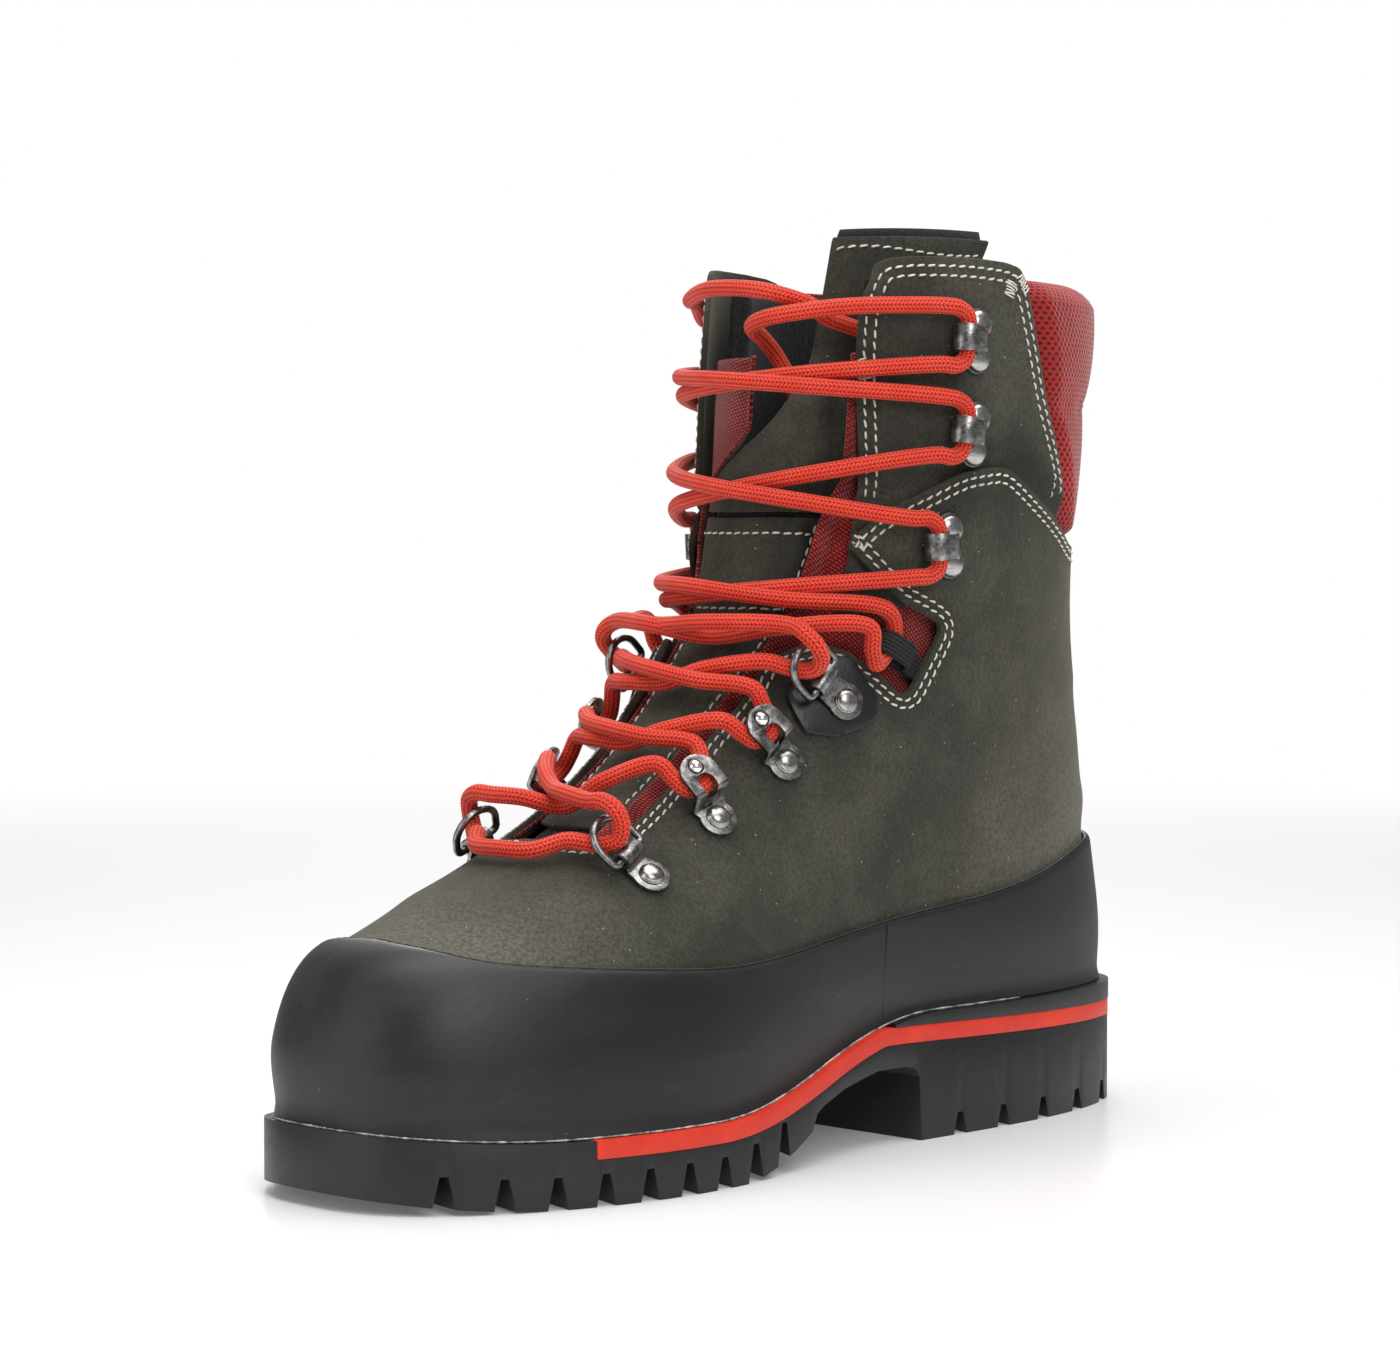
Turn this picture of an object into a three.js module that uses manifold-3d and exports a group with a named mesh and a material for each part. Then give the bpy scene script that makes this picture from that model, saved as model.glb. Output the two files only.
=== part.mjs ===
// A laced mountaineering boot for the right foot, in millimetres.
// X points to the inner (medial) side, Y from toe to heel, Z up; the sole stands on z = 0.
import * as THREE from 'three';
import { mergeVertices } from 'three/addons/utils/BufferGeometryUtils.js';
import Module from 'manifold-3d';

const wasm = await Module();
wasm.setup();

// ---------------------------------------------------------------- driving dimensions
const bootLength = 311;        // sole, toe to heel
const bootWidth = 118;         // sole at the ball of the foot
const cuffHeight = 253;        // ground to the top edge of the cuff flaps
const ballThickness = 17.5;    // sole under the ball, lugs included
const heelThickness = 37;      // sole under the heel, lugs included
const toeSpring = 4;           // lift of the tread at the tip of the toe
const soleMargin = 3.5;        // sole edge beyond the bottom of the upper
const lugDepth = 6.5;
const grooveWidth = 3.4;
const redThickness = 5;
const redStartY = -103;        // squared front end of the red layer
const weltStartY = 26;         // front tip of the heel welt
const shankWidth = 34;
const shankLength = 150;
const shankThickness = 2;
const boardThickness = 2.5;
const footbedThickness = 5;
const randThickness = 2.2;
const leatherThickness = 2;
const stiffenerThickness = 1.6;
const liningThickness = 2.5;
const flapDepth = 3.1;         // cuff flap under the quarter's top edge
const tonguePad = 6;
const tonguePanel = 1.2;
const meshThickness = 1;
const meshDepth = flapDepth + leatherThickness + 0.2;  // red mesh under the cuff flap
const liningDepth = meshDepth + meshThickness + 1.2;   // lining under the red mesh
const laceDiameter = 5;
const agletLength = 18;
const plateThickness = 1.1;
const rivetRadius = 3.6;
const ringWire = 2.2;
const ringReach = 12;
const ringHalfWidth = 7.2;
const ringTilt = 18;           // degrees above the leather
const hookWidth = 8;
const hookGap = 6;             // clear height inside a speed hook
const ballRadius = 2.2;
const gap = 0.3;               // clearance between touching pieces
const seatGap = 0.6;           // under a stiff piece on the curved leather
const columns = 40;            // facets round the boot
const facet = 360 / columns;   // degrees

const radians = THREE.MathUtils.degToRad;
const { lerp, clamp } = THREE.MathUtils;
const ease = (t) => { const s = clamp(t, 0, 1); return s * s * (3 - 2 * s); };

// ---------------------------------------------------------------- the outer surface of the upper
// Key sections from the sole up, evenly spaced in v = 0, 0.1 ... 1.1. Each lies in a plane
// through a front and a back point: front y, front height above the ball's sole, back y,
// back height above the heel's sole, half width, squareness.
const baseLength = 311;
const baseWidth = 118;
const baseHeight = 216;        // cuff height above the heel's sole
const sections = [
  [-153, 0, 151, 0, 54.5, 2.75],
  [-154.5, 22, 151, 17, 54, 2.7],
  [-144, 44.5, 149.5, 35, 51, 2.6],
  [-117, 56, 149, 51, 47, 2.4],
  [-94, 65.5, 147, 64, 44.5, 2.2],
  [-63, 80, 143, 78, 44.5, 2.15],
  [-36, 100, 138.5, 95, 44.5, 2.1],
  [-8, 133, 131.5, 121, 47, 2.1],
  [2.5, 166, 130.5, 151, 49, 2.1],
  [6, 200, 134, 181, 50, 2.1],
  [9, 232, 137, 211, 50, 2.1],
  [12, 264, 139, 241, 50, 2.1],
];
// Width of the foot's outline against the section's half width, at stations along y.
const medialOutline = [[-160, 1.05], [-120, 1.08], [-85, 1.1], [-60, 1.06], [-20, 0.89], [20, 0.68],
  [60, 0.7], [100, 0.73], [160, 0.73]];
const lateralOutline = [[-160, 0.95], [-120, 0.98], [-85, 1.02], [-50, 1.04], [-20, 0.98], [20, 0.88],
  [60, 0.8], [100, 0.76], [160, 0.76]];
const lengthScale = bootLength / baseLength;
const widthScale = bootWidth / baseWidth;
const heightScale = (cuffHeight - heelThickness) / baseHeight;

function alongTable(table, at) {
  const last = table[table.length - 1];
  if (at <= table[0][0]) return table[0][1];
  for (let i = 1; i < table.length; i++) {
    const [x1, y1] = table[i];
    const [x0, y0] = table[i - 1];
    if (at <= x1) return lerp(y0, y1, (at - x0) / (x1 - x0));
  }
  return last[1];
}

// The outline is averaged over 24 mm each way, so that it runs smoothly.
function outlineShare(y, medial) {
  const table = medial ? medialOutline : lateralOutline;
  const samples = 12;
  let sum = 0;
  for (let k = -samples; k <= samples; k++) sum += alongTable(table, y / lengthScale + (24 * k) / samples);
  return sum / (2 * samples + 1);
}

// Height of the top of the sole: low under the ball, rising through the waist to the heel.
function soleTop(y) {
  const s = y / lengthScale;
  const rise = ease((s + 60) / 108);
  const spring = clamp((-105 - s) / 48, 0, 1.2) ** 2;
  return lerp(ballThickness, heelThickness, rise) + 0.8 * toeSpring * spring;
}

function sectionAt(v) {
  const n = sections.length;
  const i = clamp(Math.floor(v * 10), 0, n - 2);
  const f = v * 10 - i;
  const row = (k) => {
    if (k < 0) return sections[0].map((a, c) => 2 * a - sections[1][c]);
    if (k >= n) return sections[n - 1].map((a, c) => 2 * a - sections[n - 2][c]);
    return sections[k];
  };
  const [a, b, c, d] = [row(i - 1), row(i), row(i + 1), row(i + 2)];
  return b.map((_, k) => 0.5 * (2 * b[k] + (c[k] - a[k]) * f + (2 * a[k] - 5 * b[k] + 4 * c[k] - d[k]) * f * f
    + (3 * b[k] - a[k] - 3 * c[k] + d[k]) * f ** 3));
}

// A point of the surface: degrees round from the toe (positive on the medial side), and v upward.
function surfacePoint(degrees, v) {
  const [frontY, frontRise, backY, backRise, half, power] = sectionAt(v);
  const c = Math.cos(radians(degrees));
  const s = Math.sin(radians(degrees));
  const r = (Math.abs(c) ** power + Math.abs(s) ** power) ** (-1 / power);
  const t = (1 + r * c) / 2;
  const y = lerp(backY, frontY, t) * lengthScale;
  const ramp = lerp(heelThickness, ballThickness, t);
  const onSole = clamp(1 - v / 0.5, 0, 1);
  const z = lerp(backRise, frontRise, t) * heightScale + ramp + (soleTop(y) - ramp) * onSole;
  const shaped = clamp(1 - v / 0.6, 0, 1) ** 0.7;
  const x = half * widthScale * r * s * (1 + shaped * (outlineShare(y, s >= 0) - 1));
  return new THREE.Vector3(x, y, z);
}

function surfaceNormal(degrees, v) {
  const step = 0.05;
  const round = surfacePoint(degrees + step, v).sub(surfacePoint(degrees - step, v));
  const up = surfacePoint(degrees, v + 0.001).sub(surfacePoint(degrees, v - 0.001));
  return round.cross(up).normalize();
}

function offsetPoint(degrees, v, offset) {
  return surfacePoint(degrees, v).addScaledVector(surfaceNormal(degrees, v), offset);
}

// ---------------------------------------------------------------- mesh helpers
function orient(positions, triangles) {
  const [a, b, c] = [new THREE.Vector3(), new THREE.Vector3(), new THREE.Vector3()];
  let volume = 0;
  for (let i = 0; i < triangles.length; i += 3) {
    a.fromArray(positions, 3 * triangles[i]);
    b.fromArray(positions, 3 * triangles[i + 1]);
    c.fromArray(positions, 3 * triangles[i + 2]);
    volume += a.dot(b.cross(c));
  }
  if (volume < 0) {
    for (let i = 0; i < triangles.length; i += 3) {
      [triangles[i], triangles[i + 1]] = [triangles[i + 1], triangles[i]];
    }
  }
  const geometry = new THREE.BufferGeometry();
  geometry.setAttribute('position', new THREE.Float32BufferAttribute(positions, 3));
  geometry.setIndex(triangles);
  return geometry;
}

function toSolid(geometry) {
  const bare = geometry.clone();
  bare.deleteAttribute('normal');
  bare.deleteAttribute('uv');
  const merged = mergeVertices(bare, 1e-4);
  return new wasm.Manifold(new wasm.Mesh({
    numProp: 3,
    vertProperties: new Float32Array(merged.attributes.position.array),
    triVerts: new Uint32Array(merged.index.array),
  }));
}

function toGeometry(solid) {
  const mesh = solid.getMesh();
  const geometry = new THREE.BufferGeometry();
  geometry.setAttribute('position', new THREE.BufferAttribute(mesh.vertProperties, 3));
  geometry.setIndex(new THREE.BufferAttribute(mesh.triVerts, 1));
  return geometry;
}

// A curved slab: place(s, t) gives [degrees, v] for s and t from 0 to 1, and outer and inner give
// the two faces' offsets from the surface. A ring joins its last column to its first.
function slab({ across, upward, place, outer, inner, ring = false }) {
  const cols = ring ? across : across + 1;
  const rows = upward + 1;
  const positions = [];
  for (const face of [outer, inner]) {
    for (let i = 0; i < cols; i++) {
      for (let j = 0; j < rows; j++) {
        const [degrees, v] = place(i / across, j / upward);
        positions.push(...offsetPoint(degrees, v, face(degrees, v)).toArray());
      }
    }
  }
  const at = (face, i, j) => (face * cols + (i % cols)) * rows + j;
  const triangles = [];
  const quad = (a, b, c, d) => triangles.push(a, b, c, a, c, d);
  for (let i = 0; i < across; i++) {
    for (let j = 0; j < upward; j++) {
      quad(at(0, i, j), at(0, i + 1, j), at(0, i + 1, j + 1), at(0, i, j + 1));
      quad(at(1, i, j), at(1, i, j + 1), at(1, i + 1, j + 1), at(1, i + 1, j));
    }
    quad(at(1, i, 0), at(1, i + 1, 0), at(0, i + 1, 0), at(0, i, 0));
    quad(at(0, i, upward), at(0, i + 1, upward), at(1, i + 1, upward), at(1, i, upward));
  }
  if (!ring) {
    for (let j = 0; j < upward; j++) {
      quad(at(0, 0, j), at(0, 0, j + 1), at(1, 0, j + 1), at(1, 0, j));
      quad(at(1, across, j), at(1, across, j + 1), at(0, across, j + 1), at(0, across, j));
    }
  }
  return orient(positions, triangles);
}

const toVectors = (points) => points.map(([x, y]) => new THREE.Vector2(x, y));
const polygon = (points) => new THREE.Shape(toVectors(points));

// A shape drawn in the y-z plane, extruded from x0 to x1.
function alongX(shape, x0, x1) {
  const depth = x1 - x0;
  const geometry = new THREE.ExtrudeGeometry(shape, { depth, bevelEnabled: false, curveSegments: 8 });
  geometry.applyMatrix4(new THREE.Matrix4().set(0, 0, 1, x0, 1, 0, 0, 0, 0, 1, 0, 0, 0, 0, 0, 1));
  return geometry;
}

// A shape drawn in the x-z plane, extruded evenly about y = 0.
function alongY(shape, width) {
  const geometry = new THREE.ExtrudeGeometry(shape, { depth: width, bevelEnabled: false, curveSegments: 5 });
  geometry.applyMatrix4(new THREE.Matrix4().set(1, 0, 0, 0, 0, 0, -1, width / 2, 0, 1, 0, 0, 0, 0, 0, 1));
  return geometry;
}

// A shape drawn in the x-y plane, extruded from z0 to z1.
function alongZ(shape, z0, z1) {
  const depth = z1 - z0;
  const geometry = new THREE.ExtrudeGeometry(shape, { depth, bevelEnabled: false, curveSegments: 6 });
  return geometry.translate(0, 0, z0);
}

// A closed tube through a loop of points that lies in a plane with the given normal.
function loopTube(points, normal, radius, sides) {
  const positions = [];
  const count = points.length;
  for (let i = 0; i < count; i++) {
    const before = points[(i + count - 1) % count];
    const after = points[(i + 1) % count];
    const side = after.clone().sub(before).normalize().cross(normal);
    for (let k = 0; k < sides; k++) {
      const angle = (2 * Math.PI * k) / sides;
      const point = points[i].clone().addScaledVector(side, radius * Math.cos(angle));
      positions.push(...point.addScaledVector(normal, radius * Math.sin(angle)).toArray());
    }
  }
  const triangles = [];
  for (let i = 0; i < count; i++) {
    for (let k = 0; k < sides; k++) {
      const [a, b] = [i * sides + k, i * sides + ((k + 1) % sides)];
      const [c, d] = [((i + 1) % count) * sides + ((k + 1) % sides), ((i + 1) % count) * sides + k];
      triangles.push(a, b, c, a, c, d);
    }
  }
  return orient(positions, triangles);
}

// ---------------------------------------------------------------- materials
const standard = (color, roughness, metalness = 0) =>
  new THREE.MeshStandardMaterial({ color, roughness, metalness });
const materials = {
  rubber: standard(0x1f1f20, 0.75),
  red: standard(0xe23a26, 0.6),
  suede: standard(0x4a4a42, 0.95),
  mesh: standard(0xa3241f, 0.9),
  fabric: standard(0x17181a, 0.95),
  board: standard(0x8a7350, 0.8),
  foam: standard(0x2b2d30, 0.9),
  webbing: standard(0x141414, 0.9),
  lace: standard(0xe8402c, 0.7),
  gunmetal: standard(0x6b6a66, 0.35, 1),
  steel: standard(0xc9c8c4, 0.2, 1),
  plastic: standard(0x202020, 0.5),
};

const boot = new THREE.Group();

function add(name, geometry, material, parent = boot) {
  const mesh = new THREE.Mesh(geometry, materials[material]);
  mesh.name = name;
  parent.add(mesh);
  return mesh;
}

// ---------------------------------------------------------------- bottom unit
// Outline of the upper at height v, pushed out by a margin, as points in plan.
function planOutline(v, margin, count = 48) {
  const points = [];
  for (let i = 0; i < count; i++) {
    const degrees = (360 * i) / count;
    const point = surfacePoint(degrees, v);
    const ahead = surfacePoint(degrees + 1, v);
    const behind = surfacePoint(degrees - 1, v);
    const side = new THREE.Vector2(ahead.y - behind.y, behind.x - ahead.x).normalize();
    points.push([point.x + margin * side.x, point.y + margin * side.y]);
  }
  return points;
}

const soleOutline = polygon(planOutline(0, soleMargin));
const soleFront = Math.min(...planOutline(0, soleMargin).map((p) => p[1]));
const soleBack = Math.max(...planOutline(0, soleMargin).map((p) => p[1]));
const halfSpan = bootWidth;
const redTop = (y) =>
  Math.min(soleTop(y), lerp(heelThickness - 3, heelThickness - 6, (y - weltStartY) / 125));
const redBottom = (y) => redTop(y) - redThickness;

function stations(from, to, count) {
  return Array.from({ length: count + 1 }, (_, i) => lerp(from, to, i / count));
}

// A full-width layer between two height curves, cut to the sole's outline.
function soleLayer(from, to, upper, lower, outline = soleOutline, count = 24) {
  const ys = stations(from, to, count);
  const profile = [...ys.map((y) => [y, lower(y)]), ...ys.reverse().map((y) => [y, upper(y)])];
  const layer = toSolid(alongX(polygon(profile), -halfSpan, halfSpan));
  return layer.intersect(toSolid(alongZ(outline, -20, cuffHeight)));
}

const archStart = -18 * lengthScale;
const heelStart = 38 * lengthScale;
const archHeight = 16;

// Ground side of the outsole: toe spring, flat ball, raised last lugs, arch and heel block.
function groundProfile() {
  const points = [];
  for (const y of stations(soleFront - 1, -108 * lengthScale, 5)) {
    points.push([y, toeSpring * clamp((-108 * lengthScale - y) / (46 * lengthScale), 0, 1.1) ** 2]);
  }
  points.push([-50 * lengthScale, 0], [-35 * lengthScale, 3], [archStart, 10], [archStart + 3, archHeight]);
  points.push([0, archHeight + 3.5], [heelStart - 4, redBottom(heelStart) - 6], [heelStart, 0]);
  points.push([soleBack + 1, 0]);
  return points;
}

function outsoleTop(y) {
  return (y < redStartY ? soleTop(y) : redBottom(y)) - gap;
}

// One groove of the tread, tapered upward, running inwards from the sole's edge.
function groove(x, y, heading, length, depth) {
  const foot = grooveWidth * 0.25;
  const shape = polygon([[-grooveWidth, -6], [grooveWidth, -6], [foot, depth], [-foot, depth]]);
  const cutter = alongY(shape, length);
  cutter.rotateZ(heading);
  return toSolid(cutter.translate(x, y, 0));
}

function outsole() {
  const ys = [...stations(soleBack + 1, redStartY, 26), ...stations(redStartY - 0.01, soleFront - 1, 10)];
  const profile = [...groundProfile(), ...ys.map((y) => [y, outsoleTop(y)])];
  let body = toSolid(alongX(polygon(profile), -halfSpan, halfSpan));
  body = body.intersect(toSolid(alongZ(soleOutline, -1, cuffHeight)));
  const forefoot = stations(-138, -30, 8);
  const heel = [58, 78, 98, 118, 138];
  for (const [medial, side] of [[true, 1], [false, -1]]) {
    for (const y of [...forefoot, ...heel].map((a) => a * lengthScale)) {
      const edge = surfacePointAtY(y, medial);
      const lift = y < archStart ? Math.max(0, (y + 50 * lengthScale) * 0.3) : 0;
      const spring = toeSpring * clamp((-108 * lengthScale - y) / (46 * lengthScale), 0, 1) ** 2;
      const depth = lift + lugDepth + spring;
      const heading = Math.PI / 2 - side * 0.25;
      body = body.subtract(groove(edge.x - side * 7, y, heading, 30, depth));
    }
  }
  // Long channel down the middle of the forefoot and of the heel.
  const frontChannel = [-132, archStart / lengthScale - 4, 2];
  const heelChannel = [heelStart / lengthScale + 14, 152, 0];
  for (const [from, to, x] of [frontChannel, heelChannel]) {
    const length = (to - from) * lengthScale;
    body = body.subtract(groove(x, ((from + to) / 2) * lengthScale, 0, length, lugDepth));
  }
  return toGeometry(body);
}

// Edge of the upper's bottom outline at a given y, on one side.
function surfacePointAtY(y, medial) {
  const side = medial ? 1 : -1;
  let low = 2;
  let high = 178;
  for (let i = 0; i < 30; i++) {
    const middle = (low + high) / 2;
    if (surfacePoint(side * middle, 0).y < y) low = middle;
    else high = middle;
  }
  return surfacePoint(side * low, 0);
}

const shankFrom = -35 * lengthScale;
function shankOutline(margin) {
  const half = shankWidth / 2;
  const shape = new THREE.Shape();
  shape.absarc(0, shankFrom + half, half + margin, Math.PI, 2 * Math.PI);
  shape.absarc(0, shankFrom + shankLength - half, half * 0.85 + margin, 0, Math.PI);
  return shape;
}
const shankLayer = (top, thickness, margin) => soleLayer(shankFrom - 5, shankFrom + shankLength + 5,
  (y) => soleTop(y) - gap + top, (y) => soleTop(y) - gap + top - thickness, shankOutline(margin), 20);

function addBottomUnit() {
  add('outsole', outsole(), 'rubber');
  const red = soleLayer(redStartY + gap, soleBack + 1, (y) => redTop(y) - gap, redBottom, soleOutline, 30);
  const weltTop = (y) => soleTop(y) - gap;
  const weltFoot = (y) => Math.min(redTop(y), weltTop(y) - 0.2);
  const welt = soleLayer(weltStartY, soleBack + 1, weltTop, weltFoot, soleOutline, 14);
  const recess = shankLayer(5, 5 + shankThickness + gap, gap);
  add('red_midsole', toGeometry(red.subtract(recess)), 'red');
  add('heel_welt', toGeometry(welt.subtract(recess)), 'rubber');
  add('shank', toGeometry(shankLayer(0, shankThickness, 0)), 'steel');

  const inside = leatherThickness + randThickness + 3 * gap;
  const boardOutline = polygon(planOutline(0.02, -inside - stiffenerThickness));
  const boardTop = (y) => soleTop(y) + boardThickness;
  const board = soleLayer(soleFront, soleBack, boardTop, soleTop, boardOutline);
  add('lasting_board', toGeometry(board), 'board');
  const bedOutline = polygon(planOutline(0.06, -liningDepth - randThickness - liningThickness - 4 * gap));
  const bedBottom = (y) => soleTop(y) + boardThickness + gap;
  const bed = soleLayer(soleFront, soleBack, (y) => bedBottom(y) + footbedThickness, bedBottom, bedOutline);
  add('footbed', toGeometry(bed), 'foam');
}

// ---------------------------------------------------------------- upper
// Offsets from the surface. Below the rand's top edge the leather runs under the rand.
const leatherOuter = (degrees, v) => {
  const above = v - alongTable(randTop, fromToe(degrees));
  return -(randThickness + gap) * (1 - ease((above - 0.004) / 0.1));
};
const leatherInner = (degrees, v) => leatherOuter(degrees, v) - leatherThickness;
const innerLayer = randThickness + gap + leatherThickness + gap;
const liningOuter = (degrees, v) => -liningDepth - (randThickness - 0.2) * (1 - ease((v - 0.25) / 0.15));
const liningInner = (degrees, v) => liningOuter(degrees, v) - liningThickness;
const constant = (value) => () => value;

// Top edge of the rand and top edge of the quarters, as v against degrees from the toe.
const randTop = [[0, 0.25], [22, 0.238], [35, 0.215], [60, 0.19], [90, 0.165], [103, 0.157], [122, 0.188],
  [141, 0.25], [160, 0.265], [180, 0.27]];
const quarterTop = [[0, 0.8], [42, 0.765], [47, 0.787], [56, 0.8], [73, 0.825], [88, 0.83], [104, 0.797],
  [128, 0.752], [180, 0.735]];
// Front edge and rear edge of the flaps, as degrees against v.
const flapFront = [[0.7, 43], [0.82, 42], [0.87, 40], [0.94, 38], [0.99, 39], [1.02, 46]];
const flapRear = [[0.7, 132], [0.755, 128], [0.835, 113], [0.89, 102], [0.955, 95], [1.02, 88]];
const flapTop = 1.02;
const collarTop = 1;
const randJoin = 99;           // where front and heel rand meet, a whole number of facets from the toe

const bottomEdge = 0.004;
const randRows = 4;
const fromToe = (degrees) => (Math.abs(degrees) > 180 ? 360 - Math.abs(degrees) : Math.abs(degrees));
const randHeight = (degrees, t) => lerp(bottomEdge, alongTable(randTop, fromToe(degrees)), t);

// Half-open cut through the front: the throat in plan, and one notch on each side in side view.
function throatCutter() {
  const half = [[21, -68], [21, -60], [19.5, -30], [22, -17], [26, -5], [34, 17], [34, 60]];
  const points = [[12, -74], ...half, ...half.map(([x, y]) => [-x, y]).reverse(), [-12, -74]];
  const scaled = points.map(([x, y]) => [x * widthScale, y * lengthScale]);
  return toSolid(alongZ(polygon(scaled), (ballThickness + 50) * heightScale, cuffHeight + 60));
}

function notchCutter(side) {
  const outline = [[-25, 137], [-8, 139], [4, 145], [12, 142], [27, 129.5], [30, 129], [41, 146], [42, 149],
    [38, 151.5], [29, 156], [22, 163], [16, 173], [-10, 176]];
  const scaled = outline.map(([y, z]) => [y * lengthScale, heelThickness + (z - 37) * heightScale]);
  const [from, to] = side > 0 ? [15, 90] : [-90, -15];
  return toSolid(alongX(polygon(scaled), from, to));
}

function vampQuarters() {
  const upward = randRows + 8;
  const place = (s, t) => {
    const degrees = 360 * s;
    const row = t * upward;
    if (row <= randRows) return [degrees, randHeight(degrees, row / randRows)];
    const share = (row - randRows) / (upward - randRows);
    return [degrees, lerp(randHeight(degrees, 1), alongTable(quarterTop, fromToe(degrees)), share)];
  };
  const faces = { outer: leatherOuter, inner: leatherInner };
  const shell = slab({ across: columns, upward, ring: true, place, ...faces });
  const notched = toSolid(shell).subtract(notchCutter(1)).subtract(notchCutter(-1));
  return toGeometry(notched.subtract(throatCutter()));
}

function randPiece(fromDegrees, toDegrees, across) {
  return slab({
    across,
    upward: randRows,
    place: (s, t) => {
      const degrees = lerp(fromDegrees, toDegrees, s);
      return [degrees, randHeight(degrees, t)];
    },
    outer: (degrees, v) => (v < 0.01 ? 0.6 : 0),
    inner: constant(-randThickness),
  });
}

// The flap dips under the quarter's top edge.
const flapOuter = (degrees, v) => {
  const above = v - alongTable(quarterTop, fromToe(degrees));
  return -flapDepth * (1 - ease((above - 0.016) / 0.02));
};

function cuffFlap(side) {
  return slab({
    across: 8,
    upward: 7,
    place: (s, t) => {
      const lowest = lerp(0.74, 0.7, s);
      const v = lerp(lowest, flapTop - 0.012 * (2 * s - 1) ** 2, t);
      return [side * lerp(alongTable(flapFront, v), alongTable(flapRear, v), s), v];
    },
    outer: flapOuter,
    inner: (degrees, v) => flapOuter(degrees, v) - leatherThickness + 0.2,
  });
}

function rearCollar() {
  const edge = flapDepth + leatherThickness + gap;
  const lobe = (v) => {
    const lower = Math.sin(Math.PI * clamp((v - 0.76) / 0.13, 0, 1));
    const upper = Math.sin(Math.PI * clamp((v - 0.89) / 0.12, 0, 1));
    return 3 + 2.5 * lower + 3.5 * upper;
  };
  const share = (degrees, v) => {
    const turned = fromToe(degrees);
    const behindFlap = ease((turned - alongTable(flapRear, v) - 1) / 12);
    return behindFlap * ease((v - alongTable(quarterTop, turned)) / 0.02);
  };
  return slab({
    across: 14,
    upward: 9,
    place: (s, t) => {
      const v = lerp(0.7, collarTop, t);
      const start = alongTable(flapRear, v) - 6;
      return [lerp(start, 360 - start, s), v];
    },
    outer: (degrees, v) => lerp(-edge, -edge + 1 + lobe(v), share(degrees, v)),
    inner: constant(-liningDepth + 3 * gap),
  });
}

// The tongue lies shallow in the throat and deep behind the cuff, turned towards the medial side.
const tongueLeft = [[0.44, -19], [0.6, -16], [0.7, -14], [0.79, -24], [0.83, -16], [0.86, 2], [0.93, 15],
  [1, 20], [1.06, 24]];
const tongueRight = [
  [0.44, 19], [0.6, 20], [0.7, 28], [0.8, 33], [0.86, 46], [0.93, 68], [1, 86], [1.06, 96],
];
const tongueOuter = (degrees, v) => {
  const front = -3 - 1.6 * ease((Math.abs(degrees) - 17) / 5) * ease((v - 0.66) / 0.05);
  const inside = -liningDepth - liningThickness - tonguePanel - 3 * gap;
  const behind = lerp(front, inside, ease((Math.abs(degrees) - 24) / 9));
  return lerp(behind, -19, ease((v - 0.82) / 0.12));
};

// Heights of the tongue's facet rows; each panel takes a run of them.
const tongueRows = [
  0.45, 0.49, 0.54, 0.59, 0.64, 0.69, 0.705, 0.745, 0.785, 0.8, 0.84, 0.88, 0.92, 0.96, 1, 1.05,
];

function tongueBand(first, last, outer, inner) {
  const upward = last - first;
  return slab({
    across: 8,
    upward,
    place: (s, t) => {
      const v = tongueRows[first + Math.round(t * upward)];
      return [lerp(alongTable(tongueLeft, v), alongTable(tongueRight, v), s), v];
    },
    outer: (degrees, v) => tongueOuter(degrees, v) + outer,
    inner: (degrees, v) => tongueOuter(degrees, v) + inner,
  });
}

// Red mesh between the tongue's panel and the quarter: close under the leather low down, and
// deeper where the cuff flap lies between them.
const meshOuter = (degrees, v) => -lerp(leatherThickness + 3 * gap, meshDepth, ease((v - 0.58) / 0.06));

function bellows(side) {
  const free = side > 0 ? tongueRight : tongueLeft;
  return slab({
    across: 7,
    upward: 9,
    place: (s, t) => {
      const v = lerp(0.46, 0.93, t);
      const start = clamp(side * alongTable(free, v) + 4, 3, 37);
      const end = lerp(34, 84, ease((v - 0.5) / 0.1));
      return [side * lerp(start, end, s), v];
    },
    outer: meshOuter,
    inner: (degrees, v) => meshOuter(degrees, v) - meshThickness,
  });
}

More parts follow.
